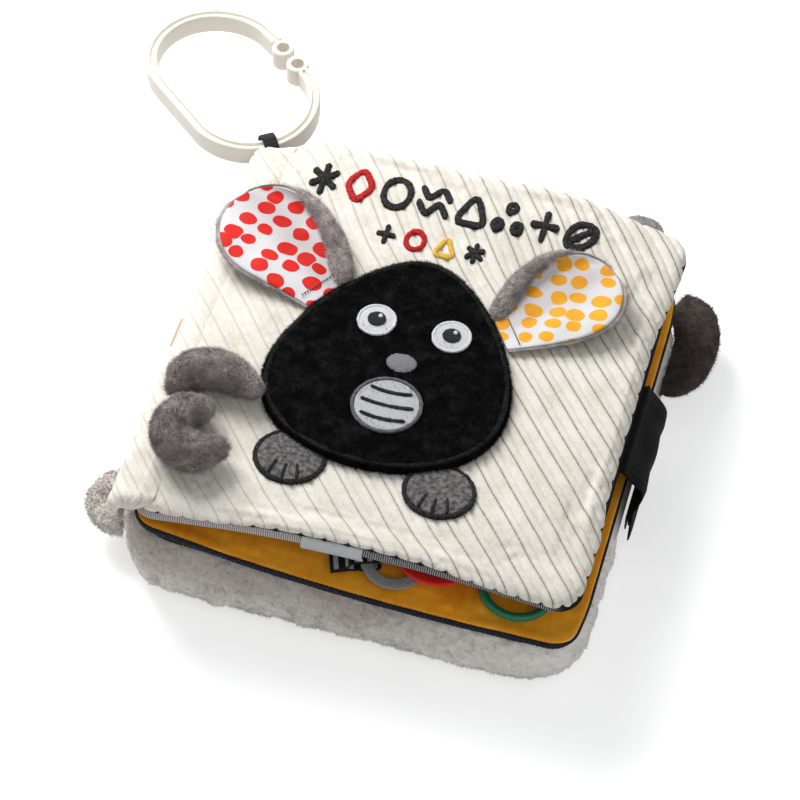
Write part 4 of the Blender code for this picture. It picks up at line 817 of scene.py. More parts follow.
def make_spine_wrap():
    """The wrap of the cover's plush round the spine."""
    path = catmull([(-0.0720, 0.0558), (-0.0752, 0.0567), (-0.0785, 0.05715), (-0.0822, 0.0572),
                    (-0.0862, 0.0561), (-0.0893, 0.0535), (-0.0911, 0.0495), (-0.0917, 0.0452),
                    (-0.0914, 0.0420), (-0.0904, 0.0407)], 7)
    flat_x = path[0, 0] - run_along(path)
    normal = left_of(directions(path))
    normal *= np.sign(normal[0, 1])
    thick, end, cap, overlap = 2.4 * MM, 0.0930, 0.0045, 14
    middle = np.array([-0.0838, 0.0500])
    closing = end - cap * (1 - np.sin(np.linspace(math.pi / 2, 0, 9)))
    ys = np.concatenate([-closing, np.linspace(-closing[-1], closing[-1], 300)[1:-1], closing[::-1]])
    loops, phases = [], []
    for y in ys:
        phase = rib_phase(np.insert(flat_x[:, None], 1, y, 1))
        dip = 1.05 * MM * groove_depth(phase) - nap(np.insert(path, 1, y, 1)) + 0.3 * MM
        dip[:overlap] -= 0.3 * MM * np.linspace(0, 1, overlap)
        shut = 0.30 + 0.70 * math.sqrt(max(1 - max((abs(y) - (end - cap)) / cap, 0) ** 2, 0))
        section = np.vstack([path - normal * dip[:, None], (path - normal * thick)[::-1]])
        loops.append(np.insert(middle + (section - middle) * shut, 1, y, 1))
        phases.append(np.concatenate([phase, phase[::-1]]))
    piece = Piece("spine_wrap")
    add_skin(piece, raise_ends(np.array(loops)), rib=np.array(phases) + 0.5)
    wrap = piece.make(cream_plush, None, "plush_cream", ["spine_cream_strip"])
    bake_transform(wrap)


def make_cover_lining():
    """The striped lining under the front cover, its stitched seam and a satin label in it."""
    profile = [(0.0012, -0.0001), (0.0001, -0.0014), (-0.0005, -0.0030), (0.0004, -0.0046),
               (0.0050, -0.0052), (0.0200, -0.0050)]
    points, normals, _, shape, ring = leaf(cover_size, profile, 1.0 * MM)
    points[:, 2] *= 1 - cover_thinning * smooth(points[:, 0] / 0.088)
    points[:, 2] += cover_seam_z + 0.15 * MM * lumps(points * [1, 1, 0], 15 * MM, 2, 5.0)
    piece = Piece("cover_lining")
    add_leaf(piece, raise_ends(points), shape, ring, -1, along=along_edge(points, normals))
    piece.make(lining_stripes, "front_cover", "striped_cotton", ["front_cover_lining"])

    pitch = 0.35 * MM
    places, out = outline(cover_size, 0.0009, pitch)
    run = np.arange(len(places)) * pitch
    tuck = np.exp(-(from_groove(rib_phase(places)) * rib_pitch / (0.60 * MM)) ** 2)
    bead = 1 + 0.20 * np.sin(2 * math.pi * run / (1.5 * MM)) + 1.1 * tuck
    edge_thread("cover_seam", raise_ends(np.insert(places, 2, cover_seam_z - 0.0001, 1)), out, pitch,
                0.36 * MM, np.repeat(bead[:, None], 9, 1), black_thread, "front_cover",
                "overlock_black", ["front_cover_edging"])

    shape = catmull([(0.0008, -0.0004), (-0.0008, -0.0014), (-0.0014, -0.0036), (-0.0008, -0.0062),
                     (0.0006, -0.0078)], 5)
    section = np.vstack([shape, (shape + [0.0008, 0.0002])[::-1]])
    section = section + [-cover_size.height / 2, cover_seam_z]
    piece = Piece("satin_label")
    add_skin(piece, raise_ends(np.array([np.insert(section, 0, x, 1)
                                         for x in np.linspace(-0.0150, 0.0085, 40)])))
    piece.make(pale_satin, "front_cover", "striped_cotton")


def make_page():
    """The velour page, its satin underside and the overlocked edge."""
    profile = [(0.0014, 0.0003), (0.0009, 0.0013), (0.0016, 0.0024), (0.0050, 0.0033),
               (0.0120, 0.0037), (0.0260, page_rise)]
    points, normals, run, shape, ring = stuffed_leaf(page_size, profile, 3.4 * MM, 0.9 * MM,
                                                     0.030, 2.0, 1.0 * MM)
    edge = smooth(run / 0.005)
    soft = (0.30 * lumps(points * [1, 0.55, 0], 13 * MM, 2, 2.0) - 0.75) * edge
    soft = MM * (soft + 0.10 * lumps(points, 2.2 * MM, 2, 1.0))
    piece = Piece("page_velour_top")
    add_leaf(piece, bulge_page(points + normals * soft[:, None]), shape, ring)
    piece.make(mustard, "page", "velour_mustard",
               ["page_velour", "page_wadding", "page_crinkle_film"], fill=0.3)

    profile = [(0.0026, -0.0002), (0.0026, -0.0016), (0.0050, -0.0031), (0.0130, -0.0039),
               (0.0260, -0.0041)]
    points, _, run, shape, ring = leaf(page_size, profile, 1.6 * MM)
    points[:, 2] += 0.2 * MM * lumps(points * [1, 1, 0], 14 * MM, 2, 6.0) * smooth(run / 0.006)
    piece = Piece("page_satin_back")
    add_leaf(piece, bulge_page(points), shape, ring, -1)
    piece.make(black_satin, "page", "satin_black", ["page_backing"])

    pitch, flattened = 0.30 * MM, 0.42
    places, out = outline(page_size, 0.0007, pitch)
    run = (np.arange(len(places)) * pitch)[:, None]
    ridge = 1 + 0.16 * np.abs(np.sin(math.pi * run / (1.9 * MM) + angles(12) / 2)) \
        + 0.05 * np.sin(2 * math.pi * run / (17 * MM))
    fore = smooth((out[:, 0] - 0.4) / 0.5)[:, None]
    centres = bulge_page(np.insert(places, 2, 0, 1)) - fore * [0, 0, 0.6 * MM]
    edge_thread("page_overlock", centres, out, pitch, [0.80 * MM, 1.35 * MM],
                ridge * (1 - flattened * fore), navy_thread, "page", "overlock_navy",
                ["page_edging"])


def back_height(places):
    """The height of the back cover's seam, lower towards the fore edge."""
    return back_seam_z - leaf_slope * places[..., 0]


def back_scaled(points):
    """The back cover's points, lower towards the fore edge."""
    return points * np.stack([np.ones(points.shape[:-1])] * 2 + [back_height(points) / back_seam_z], -1)


def curly(points, seed):
    """Height of the sherpa's curls: rounded bumps with creases between them."""
    curls = 0.7 - 1.6 * np.abs(lumps(points, 5.5 * MM, 2, seed + 4))
    return MM * (lumps(points, 9 * MM, 2, seed) + 0.8 * curls + 0.3 * lumps(points, 2.0 * MM, 1, seed))


def make_back_cover():
    """The fleece tray and the lining with its stitched rim."""
    profile = [(0.0086, 0.0262), (0.0072, 0.0280), (0.0050, 0.0281), (0.0017, 0.0223),
               (0.0004, 0.0127), (0.0017, 0.0055), (0.0065, 0.0012), (0.0140, 0.0002)]
    grid, normals = rim(back_size, profile, 0.85 * MM)
    rows, columns = grid.shape[:2]
    points, normals = back_scaled(grid).reshape(-1, 3), normals.reshape(-1, 3)
    from_strap = np.abs(points[:, 1] - strap_y)
    beside_strap = smooth((points[:, 0] - 0.080) / 0.006) * smooth((0.027 - from_strap) / 0.004)
    curl = curly(points, 1.7) * (1 - beside_strap) - 0.6 * MM * beside_strap
    points = points + normals * (curl - 0.3 * MM)[:, None]
    points[:, 2] = np.maximum(points[:, 2], 0.00005)
    faces = grid_faces(rows, columns, True)
    piece = Piece("back_fleece")
    piece.add(points, faces, high=curl / MM)
    piece.add_ring_face(np.arange(rows) * columns + columns - 1)
    piece.add_ring_face(np.arange(rows)[::-1] * columns)

    def near_floor(spot, normal):
        away = (spot[:, 0] < 0.080) | (np.abs(spot[:, 1] - strap_y) > 0.028)
        return (spot[:, 2] > 0.0015) * (1.2 - smooth(spot[:, 2] / 0.009)) * away
    fibres(piece, points, faces, 1.2, 1.4 * MM, 0.46 * MM, (0, 0, -0.2), 0.9, near_floor, high=0.8)
    piece.make(fleece, "back_cover", "fleece", ["back_cover_fleece", "back_cover_wadding"], fill=0.5)

    profile = [(0.0080, 0.0272), (0.0084, 0.0284), (0.0130, 0.0289), (0.0200, 0.0289)]
    points, normals, _, shape, ring = leaf(back_size, profile, 1.6 * MM)
    points[:, 2] += 0.12 * MM * lumps(points * [1, 1, 0], 14 * MM, 2, 9.0)
    piece = Piece("back_lining")
    add_leaf(piece, back_scaled(points), shape, ring, along=along_edge(points, normals))
    piece.make(lining_stripes, "back_cover", "striped_cotton", ["back_cover_lining"])

    pitch = 0.45 * MM
    places, out = outline(back_size, 0.0064, pitch)
    run = (np.arange(len(places)) * pitch)[:, None]
    ridge = 1 + 0.2 * np.abs(np.sin(math.pi * run / (2.0 * MM) + angles(9) / 2))
    edge_thread("back_overlock", np.insert(places, 2, back_height(places) + 0.0009, 1), out, pitch,
                [1.1 * MM, 0.72 * MM], ridge, black_thread, "back_cover", "overlock_black",
                ["back_cover_edging"])


def make_spine_fleece():
    """The strip of fleece round the lower half of the spine."""
    low, high = np.array(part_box("spine_fleece_strip"))
    outer = catmull([(low[0] + 0.0042, low[2] - 0.0012), (low[0] + 0.0012, low[2] + 0.0002),
                     (low[0], low[2] + 0.0022), (low[0] + 0.0002, high[2] - 0.0008),
                     (low[0] + 0.0030, high[2] - 0.0002)], 6)
    closing = catmull([(low[0] + 0.0042, high[2] - 0.0008), (low[0] + 0.0046, low[2] + 0.0020)], 6)
    section = np.vstack([outer, closing])
    middle = section.mean(0)
    loops = []
    for y in np.linspace(low[1], high[1], 190):
        drawn = 1 - np.clip((abs(y) - 0.0845) / 0.0035, 0, 1) ** 2 * 0.35
        loops.append(np.insert(middle + (section - middle) * drawn, 1, y, 1))
    loops = np.array(loops)
    outer_x = low[0] + 0.0015
    curl = curly(loops, 3.0)
    loops[..., 0] -= np.where(loops[..., 0] < outer_x, 0.5 * curl + 0.5 * MM, 0)
    piece = Piece("spine_fleece")
    flat, faces = add_skin(piece, loops, high=curl / MM)
    fibres(piece, flat, faces, 1.1, 1.5 * MM, 0.34 * MM, (0, 0, 0), 1.3,
           lambda spot, normal: (spot[:, 0] < outer_x) * 1.0, high=0.3)
    strip = piece.make(fleece, None, "fleece", ["spine_fleece_strip"])
    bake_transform(strip)


# Embroidery

def rope(piece, path, height_at, width, height, closed=True, spacing=0.45 * MM):
    """A raised column of satin stitch along a line on the cloth.

    height_at is the cloth's height, or a function of a place's x and y.
    """
    path = resample(path, spacing, closed)
    heights = [height_at(x, y) for x, y in path] if callable(height_at) else height_at
    centres = np.insert(path, 2, heights, 1)
    ragged = 1 + min(0.34 * MM / width, 0.2) * 2 * lumps(centres, 0.7 * MM, 1, 4.0)
    uneven = 1 + 0.20 * lumps(centres, 1.3 * MM, 1, 7.0)
    turn = np.linspace(0, math.pi, 8)
    arch = np.stack([np.cos(turn) * width / 2, np.sin(turn) ** 0.5 * height - 0.0002], -1)
    section = np.vstack([arch, [[-width * 0.42, -0.0008], [width * 0.42, -0.0008]]])
    section = section * np.stack([ragged, uneven], -1)[:, None]
    if not closed:
        to_end = np.minimum(np.arange(len(path)), np.arange(len(path))[::-1])
        section = section * np.sqrt(np.clip(to_end / 1.6, 0.2, 1))[:, None, None]
    sweep(piece, centres, left_of(directions(path, closed)), section, closed=closed,
          run=np.arange(len(path)) * spacing)


def oval(centre, half_width, half_height, count, taper=0.0):
    """Points round an oval, narrower towards +Y when tapered."""
    x, y = circle(count).T
    return np.stack([centre[0] + half_width * (1 - taper * y) * x, centre[1] + half_height * y], -1)


def padded_oval(piece, edge, rows, level, wobble=0.0):
    """A crowned pad: the outline at (share, height above level) rows, closed top and bottom."""
    middle = edge.mean(0)
    points = np.array([np.insert(middle + (edge - middle) * share, 2, z, 1)
                       for share, z in catmull([(share, level + rise) for share, rise in rows], 8)])
    if wobble:
        above = points[..., 2] > level + rows[0][1]
        points[..., 2] += wobble * lumps(points * [1, 1, 0], 9 * MM, 2, 6.0) * above
    return add_skin(piece, points)


def cover_surface(x, y):
    """Height of the stuffed cover at a place, before its ends are raised."""
    grid = relief["points"]
    column = np.argmin(np.abs(grid[len(grid) // 2, :, 0] - x))
    row = np.argmin(np.abs(grid[:, grid.shape[1] // 2, 1] - y))
    return grid[row, column, 2]


def stitch_fill(piece, centre, half_width, half_height, turn, level, crown=0.4 * MM):
    """An oval filled with close parallel rows of thread."""
    row = 0.78 * MM
    ax, ay = math.cos(turn), math.sin(turn)
    widest = max(half_width, half_height)

    def height(x, y):
        reach = ((x - centre[0]) / half_width) ** 2 + ((y - centre[1]) / half_height) ** 2
        return level + crown * max(1 - reach, 0)
    for offset in np.arange(-1.0, 1.0, row / widest) * widest + row / 2:
        sx, sy = -ay * offset, ax * offset
        a = (ax / half_width) ** 2 + (ay / half_height) ** 2
        b = 2 * (ax * sx / half_width ** 2 + ay * sy / half_height ** 2)
        c = (sx / half_width) ** 2 + (sy / half_height) ** 2 - 1
        half = math.sqrt(max(b * b - 4 * a * c, 0)) / (2 * a)
        if 2 * half < 1.2 * row:
            continue
        spots = np.linspace(-half, half, 12) - b / (2 * a)
        line = np.stack([centre[0] + sx + ax * spots, centre[1] + sy + ay * spots], -1)
        rope(piece, line, height, row * 1.12, 0.42 * MM, closed=False, spacing=0.5 * MM)


patch_edge = oval((-0.003, -0.004), 0.046, 0.052, 260, 0.32)
patch_base = cover_top_z + 0.0001
patch_top = 0.0624
face_z = patch_top + 0.0006


def make_body():
    """The black plush animal body with its stitched border."""
    piece = Piece("body_plush")
    rise = patch_top - patch_base
    rows = [(0.955, 0), (0.985, 0.0008), (0.992, 0.0022), (0.975, 0.0036), (0.92, rise - 0.0003),
            (0.75, rise), (0.40, rise + 0.0003), (0.03, rise + 0.0004)]
    flat, faces = padded_oval(piece, patch_edge, rows, patch_base, 0.35 * MM)
    fibres(piece, flat, faces, 2.7, 1.8 * MM, 0.26 * MM, (0.15, -0.2, 0), 0.8,
           lambda spot, normal: (spot[:, 2] > patch_base + 0.0002) * (1 + 3 * (normal[:, 2] < 0.9)))
    piece.make(black_pile, "front_cover", "plush_black", ["body_patch"], fill=0.5)

    piece = Piece("body_border")
    middle = patch_edge.mean(0)
    rope(piece, middle + (patch_edge - middle) * 0.955, patch_base + 0.0038, 0.0024, 0.0008)
    piece.make(border_thread, "front_cover", "plush_black")


def make_disc(name, centre, half, count, rows, threads, border, *made_of):
    """An embroidered oval on the face: a crowned pad, rows of thread over it and a sewn border.

    threads is what stitch_fill takes after the centre, and border a rope's width and height.
    """
    piece = Piece(name)
    edge = oval(centre, *half, count)
    padded_oval(piece, edge, rows, face_z)
    if threads:
        stitch_fill(piece, centre, *threads)
    if border:
        rope(piece, edge, face_z, *border)
    piece.make(*made_of)


def make_face():
    """Round eyes, an oval nose and a striped belly, all embroidered."""
    for side, sign in [("left", -1), ("right", 1)]:
        x, y = sign * 0.015, 0.012
        make_disc(f"eye_disc_{side}", (x, y), (0.0072, 0.0072), 64,
                  [(1.0, -0.0008), (0.985, 0), (0.5, 0.0004), (0.03, 0.0004)],
                  (0.0071, 0.0071, 0.6 * sign, face_z), (0.0012, 0.0007),
                  eye_white, "front_cover", "thread_white", [f"eye_{side}"])
        make_disc(f"pupil_disc_{side}", (x, y), (0.0034, 0.0034), 40,
                  [(1.0, 0.0006), (0.95, 0.0009), (0.03, 0.0010)],
                  (0.0035, 0.0035, 1.3, face_z + 0.0009, 0.2 * MM), None,
                  eye_black, "front_cover", "thread_black", [f"pupil_{side}"])
        make_disc(f"glint_{side}", (x + 0.0012, y + 0.0013), (0.0009, 0.0009), 20,
                  [(1.0, 0.0012), (0.8, 0.0018), (0.1, 0.0019)], None, None,
                  eye_white, "front_cover", "thread_white")
    make_disc("nose_disc", (0, -0.006), (0.0058, 0.0042), 56,
              [(1.0, -0.0006), (0.97, 0.0003), (0.4, 0.0008), (0.03, 0.0008)],
              (0.0060, 0.0044, 0.1, face_z + 0.0002, 0.6 * MM), None,
              nose_grey, "front_cover", "thread_grey", ["nose"])
    belly, belly_half = (0, -0.027), (0.0131, 0.0126)
    make_disc("belly_disc", belly, belly_half, 90,
              [(1.0, -0.0006), (0.985, 0), (0.5, 0.0003), (0.03, 0.0003)],
              (0.0129, 0.0124, 1.45, face_z - 0.0001, 0.35 * MM), None,
              belly_pale, "front_cover", "thread_pale", ["belly_patch"])
    piece = Piece("belly_stripes")
    radius = 0.0128
    for y in (-0.0200, -0.0265, -0.0330):
        half = radius * math.sqrt(1 - ((y - belly[1]) / radius) ** 2) - 0.0024
        xs = np.linspace(-half, half, 24)
        rope(piece, np.stack([xs, y - 0.0012 * (1 - (xs / half) ** 2)], -1), face_z + 0.0006, 0.0015,
             0.0006, closed=False)
    piece.make(black_thread, "front_cover", "thread_black")
    piece = Piece("belly_border")
    rope(piece, oval(belly, *belly_half, 90), face_z - 0.0001, 0.0016, 0.0009)
    piece.make(grey_thread, "front_cover", "thread_grey")


def make_paws():
    """Two plush paws with a stitched border and three claws each."""
    for side, sign in [("left", -1), ("right", 1)]:
        x, y = sign * 0.029, -0.0575
        edge = oval((x, y), 0.0130, 0.0115, 80)
        lifted = front_share(np.array([x, y - 0.004]), cover_size, cover_front_reach)
        level = cover_surface(x, y - 0.004) + cover_front_lift * lifted - 0.0004
        piece = Piece(f"paw_plush_{side}")
        flat, faces = padded_oval(piece, edge, [(0.96, -0.0004), (1.0, 0.0006), (0.93, 0.0017),
                                                (0.6, 0.0022), (0.03, 0.0023)], level, 0.2 * MM)
        fibres(piece, flat, faces, 3.2, 0.8 * MM, 0.20 * MM, (0, -0.2, 0), 0.7)
        piece.make(paw_pile, "front_cover", "plush_grey_pale", [f"paw_{side}"])
        piece = Piece(f"paw_border_{side}")
        rope(piece, edge, level + 0.0007, 0.0022, 0.0014)
        for shift, rise in [(-0.0048, 0.0010), (0.0, 0.0), (0.0048, 0.0010)]:
            claw = [(x + shift * wide, y + rise - drop)
                    for wide, drop in [(1.15, 0.0108), (1.05, 0.0080), (0.80, 0.0040)]]
            rope(piece, claw, level + 0.0020, 0.0014, 0.0008, closed=False)
        piece.make(black_thread, "front_cover", "thread_black")


def rounded_path(corners):
    """A closed polyline with its corners cut twice, so that it turns softly."""
    path = np.asarray(corners, float)
    for _ in range(2):
        onward = (np.roll(path, -1, 0) - path) * 0.18
        path = np.stack([path + onward, np.roll(path, -1, 0) - onward], 1).reshape(-1, 2)
    return path


def make_motifs():
    """Two rows of plain embroidered shapes at the head of the cover."""
    ring = circle(40)
    leaning = np.array([[math.cos(0.7), math.sin(0.7)], [-math.sin(0.7), math.cos(0.7)]])
    sway = np.linspace(-1, 1, 30)
    lens = ring * [1, 0.62] * np.stack([np.ones(40), np.abs(ring[:, 1]) ** 0.3], -1)
    # Each shape's lines, and whether they are closed
    shapes = {
        "ring": ([ring * 0.82], True),
        "star": ([np.outer([-0.95, 0.95], [math.cos(a), math.sin(a)])
                  for a in np.radians([90, 30, 150])], False),
        "triangle": ([rounded_path([(-1.0, -0.85), (1.0, -0.85), (0, 0.95)])], True),
        "diamond": ([rounded_path([(0, -1), (0.85, 0), (0, 1), (-0.85, 0)])], True),
        "cross": ([[(-0.9, 0.0), (0.9, 0.0)], [(0.0, -0.9), (0.0, 0.9)]], False),
        "leaf": ([lens @ leaning], True),
        "leaf vein": ([np.array([(-0.75, 0.0), (0.75, 0.0)]) @ leaning], False),
        "waves": ([np.stack([sway * 1.05, 0.28 * np.sin(sway * math.pi * 1.5) + y], -1)
                   for y in (-0.45, 0.45)], False),
        "dots": ([ring * 0.24 + spot for spot in ((-0.6, -0.5), (0.6, -0.5), (0.0, 0.6))], True),
    }
    rows = [
        (0.0735, 0.0066, 0.0027, [
            (-0.0560, "star", "black"), (-0.0410, "diamond", "red"), (-0.0255, "ring", "black"),
            (-0.0100, "waves", "black"), (0.0060, "triangle", "black"), (0.0210, "dots", "black"),
            (0.0355, "cross", "black"), (0.0505, "leaf", "black"), (0.0505, "leaf vein", "black")]),
        (0.0575, 0.0044, 0.0022, [
            (-0.0245, "cross", "black"), (-0.0125, "ring", "red"), (0.0000, "triangle", "yellow"),
            (0.0120, "star", "black")]),
    ]
    for shade, thread, slot in [("black", black_thread, "thread_black"),
                                ("red", red_thread, "felt_red"),
                                ("yellow", yellow_thread, "cotton_yellow_spots")]:
        piece = Piece(f"motifs_{shade}")
        for y, size, width, marks in rows:
            for x, kind, _ in [mark for mark in marks if mark[2] == shade]:
                lines, closed = shapes[kind]
                for line in lines:
                    rope(piece, np.asarray(line) * size + [x, y], cover_surface, width, 0.0010, closed)
        piece.points = [raise_ends(points) for points in piece.points]
        piece.make(thread, "front_cover", slot)


# Ears and tail

ear_length = 0.054
ear_roll_start = 0.60
ear_roll_radius = 0.0050
ear_root_z = 0.060
ear_across = np.concatenate([np.linspace(-1, ear_roll_start, 30, endpoint=False),
                             np.linspace(ear_roll_start, 1, 26)])
ear_shares = [-0.04, 0.0, 0.20, 0.42, 0.62, 0.80]
ears = {
    "left": SimpleNamespace(root=(-0.03713, 0.02245), hinge=math.radians(146.013),
                            angle=math.radians(146.0), sign=-1, scale=1.04,
                            lift=math.radians(8.0), lining=(red_spots, "cotton_red_spots")),
    "right": SimpleNamespace(root=(0.03113, 0.02245), hinge=math.radians(33.987),
                             angle=math.radians(44.5), sign=1, scale=0.96,
                             lift=math.radians(7.0), lining=(yellow_spots, "cotton_yellow_spots")),
}


def ear_axes(ear, share=0.0):
    """An ear's middle at a share of its length, and its directions there: along, aside and up.

    It leaves the hinge squarely and turns to its own direction in the first third.
    """
    turns = ear.hinge + (ear.angle - ear.hinge) * smooth(np.linspace(0, 1, 41) * share / 0.35)
    ways = np.stack([np.cos(turns) * math.cos(ear.lift), np.sin(turns) * math.cos(ear.lift),
                     np.full(41, math.sin(ear.lift))], -1)
    aside = np.array([-math.sin(turns[-1]), math.cos(turns[-1]), 0]) * ear.sign
    middle = np.array([*ear.root, ear_root_z]) + ways.mean(0) * ear_length * ear.scale * share
    return middle, ways[-1], aside, np.cross(ways[-1], aside) * ear.sign


def ear_edge(ear, share, a):
    """How far aside, how high and how far turned an ear's sheet is, at a share of its half width."""
    past = max(share - 0.62, 0) / 0.38
    half = (0.0096 + 0.0110 * smooth(0.15 + 0.85 * max(share, 0) / 0.62)) * math.sqrt(1 - past ** 2)
    half = half * ear.scale
    radius = ear_roll_radius / max(smooth(share / 0.42), 0.1)
    turned = np.maximum(a - ear_roll_start, 0) * half / radius
    return (np.minimum(a, ear_roll_start) * half + radius * np.sin(turned),
            radius * (1 - np.cos(turned)), turned)


def ear_layer(ear, low, high, fold, margin=0.0, reach=(1, 1, 1, 1, 1, 1)):
    """Loops round one layer of an ear, from its root to its tip; reach is its rolled side's extent."""
    a = ear_across
    loops = []
    for share in 0.992 * np.sin(np.linspace(0, math.pi / 2, 64)) ** 1.15:
        settled = smooth(share / 0.42)
        centre, along, aside, up = ear_axes(ear, share)
        widest = np.interp(share, ear_shares, reach)
        out, rise, turned = ear_edge(ear, share, np.minimum(a, widest))
        out = out + np.where(a > 0, 0.3 * margin, -margin) * np.abs(a) ** 8
        spot = centre + along * margin * share + np.outer(out, aside) + np.outer(rise, up)
        normal = np.outer(np.cos(turned), up) - np.outer(np.sin(turned), aside)
        edge = (1 - 0.55 * a ** 6) * (0.35 + 0.65 * settled)
        crease = fold * np.exp(-((a + 0.15 - 0.25 * share) / 0.16) ** 2) * (1 - share) * settled
        upper = spot + normal * (high * edge - crease)[:, None]
        loops.append(np.vstack([upper[::-1], spot + normal * (low * edge)[:, None]]))
    loops = np.array(loops)
    return loops + up * (0.6 * MM * lumps(loops, 14 * MM, 2, 3.0))[..., None]


def ear_fold(ear):
    """Loops of the roll of fur outside the ear's inner edge, widest at the root."""
    stations = np.linspace(-0.015, 0.84, 60)
    x, y = circle(28).T
    loops = []
    for share, spot in zip(stations, np.linspace(-1, 1, 60)):
        close = math.sqrt(max(1 - abs(spot) ** 6, 0.02))
        offset, wide, tall = (np.interp(share, ear_shares, v) * MM for v in (
            [-2.4, -2.2, -0.2, 1.5, 1.3, 0.8], [6.0, 6.0, 5.0, 3.4, 2.2, 1.2],
            [2.6, 2.6, 2.6, 2.2, 1.6, 1.0]))
        out, rise, _ = ear_edge(ear, share, 1.0)
        centre, _, aside, up = ear_axes(ear, share)
        centre = centre + aside * (out + offset) + up * (rise * 0.5 + 0.0004)
        loops.append(centre + np.outer(x * wide * close, aside)
                     + np.outer(np.maximum(y, -0.4) * (tall + rise * 0.5) * close, up))
    loops = np.array(loops)
    return loops + up * (0.6 * MM * lumps(loops, 6 * MM, 2, 5.0))[..., None]


def make_ears():
    """Both ears: fur outside and over the inner edge, a spotted lining and a stitched root."""
    for side, ear in ears.items():
        body = f"{side}_ear"
        lean = (math.cos(ear.angle), math.sin(ear.angle), 0)
        start, along, aside, up = ear_axes(ear)
        piece = Piece(f"{side}_ear_fur")
        flat, faces = add_skin(piece, ear_layer(ear, -0.0022, -0.0002, 0, 0.0012))
        fibres(piece, flat, faces, 4.5, 2.2 * MM, 0.22 * MM, lean, 0.45,
               lambda spot, normal, up=up: (normal @ up < 0.25) * 1.0)
        flat, faces = add_skin(piece, ear_fold(ear))
        fibres(piece, flat, faces, 7.0, 2.4 * MM, 0.22 * MM, lean, 0.40)
        piece.make(ear_pile_painted_lighter, body, "plush_grey", [f"{side}_ear_plush"], fill=0.2)
        piece = Piece(f"{side}_ear_spots")
        loops = ear_layer(ear, 0.0002, 0.0013, 0.0010, 0.0, (0.45, 0.45, 0.62, 0.92, 1, 1))
        # Painted shade along the hollow of the lining, strongest a little past its middle.
        across = np.exp(-((ear_across - 0.30) / 0.50) ** 2)
        add_skin(piece, loops, hollow=np.tile(np.concatenate([across[::-1], across]), len(loops)))
        piece.make(ear.lining[0], body, ear.lining[1], [f"{side}_ear_lining"])
        piece = Piece(f"{side}_ear_stitches")
        for step in np.linspace(-0.95, 0.42, 12):
            spot = start + along * 0.0052 + aside * (step * 0.0100) + up * 0.0011
            line = [spot[:2] - aside[:2] * 0.0004, spot[:2] + aside[:2] * 0.0004]
            rope(piece, line, spot[2], 0.0005, 0.0004, closed=False, spacing=0.2 * MM)
        piece.make(root_thread, body, "thread_grey")


def limb(points, swells, radius, seed):
    """Loops round a stuffed limb along a smooth route, with rounded ends."""
    fine = catmull(points, 16)
    sizes = radius * catmull(np.array(swells)[:, None], 16)[:, 0]
    ahead = directions(fine)
    cap = np.radians(np.linspace(84, 8, 9))
    back, shrunk = np.sin(cap)[:, None], np.cos(cap)
    centres = np.vstack([fine[0] - ahead[0] * sizes[0] * back, fine,
                         fine[-1] + ahead[-1] * sizes[-1] * back[::-1]])[:, None]
    radii = np.concatenate([sizes[0] * shrunk, sizes, sizes[-1] * shrunk[::-1]])[:, None, None]
    ways = np.pad(ahead, ((9, 9), (0, 0)), mode="edge")
    aside = unit(np.insert(left_of(ways), 2, 0, 1))
    x, y = circle(44).T[..., None]
    out = unit(radii * (x * aside[:, None] + y * np.cross(ways, aside)[:, None]))
    loops = centres + out * radii
    return loops + out * (0.45 * MM * lumps(loops, 5 * MM, 3, seed) - 0.5 * MM)[..., None]


def make_tail():
    """The curled fur tail: an arm out of the patch's hem and its curl."""
    radius, step = 0.0078, 0.030
    z = cover_top_z + 0.0003 + radius * 1.08
    for name, shares, swells, node, seed in [
            ("tail_fur_arm", [(0.0, -0.05), (-0.20, 0.04), (-0.46, 0.11), (-0.71, 0.07),
                              (-0.88, -0.08), (-0.93, -0.25)],
             [0.58, 0.86, 1.0, 1.02, 0.92, 0.62], "tail_arm", 1.0),
            ("tail_fur_curl", [(-0.54, -0.56), (-0.70, -0.67), (-0.77, -0.86), (-0.72, -1.07),
                               (-0.55, -1.20), (-0.35, -1.21), (-0.17, -1.10)],
             [0.72, 0.98, 1.08, 1.08, 1.02, 0.94, 0.66], "tail_curl", 2.0)]:
        route = np.array([(-0.0500 + x * step, -0.0345 + y * step, z) for x, y in shares])
        piece = Piece(name)
        flat, faces = add_skin(piece, limb(route, swells, radius, seed))
        ways = directions(route)

        def along_limb(spots):
            return ways[np.linalg.norm(spots[:, None] - route, axis=2).argmin(1)]
        fibres(piece, flat, faces, 7.0, 2.4 * MM, 0.22 * MM, along_limb, 0.42,
               lambda spot, normal: (spot[:, 2] > cover_top_z + 0.001) * 1.0)
        piece.make(grey_pile, "tail", "plush_grey", [node], fill=0.8)


# Strap and side pieces

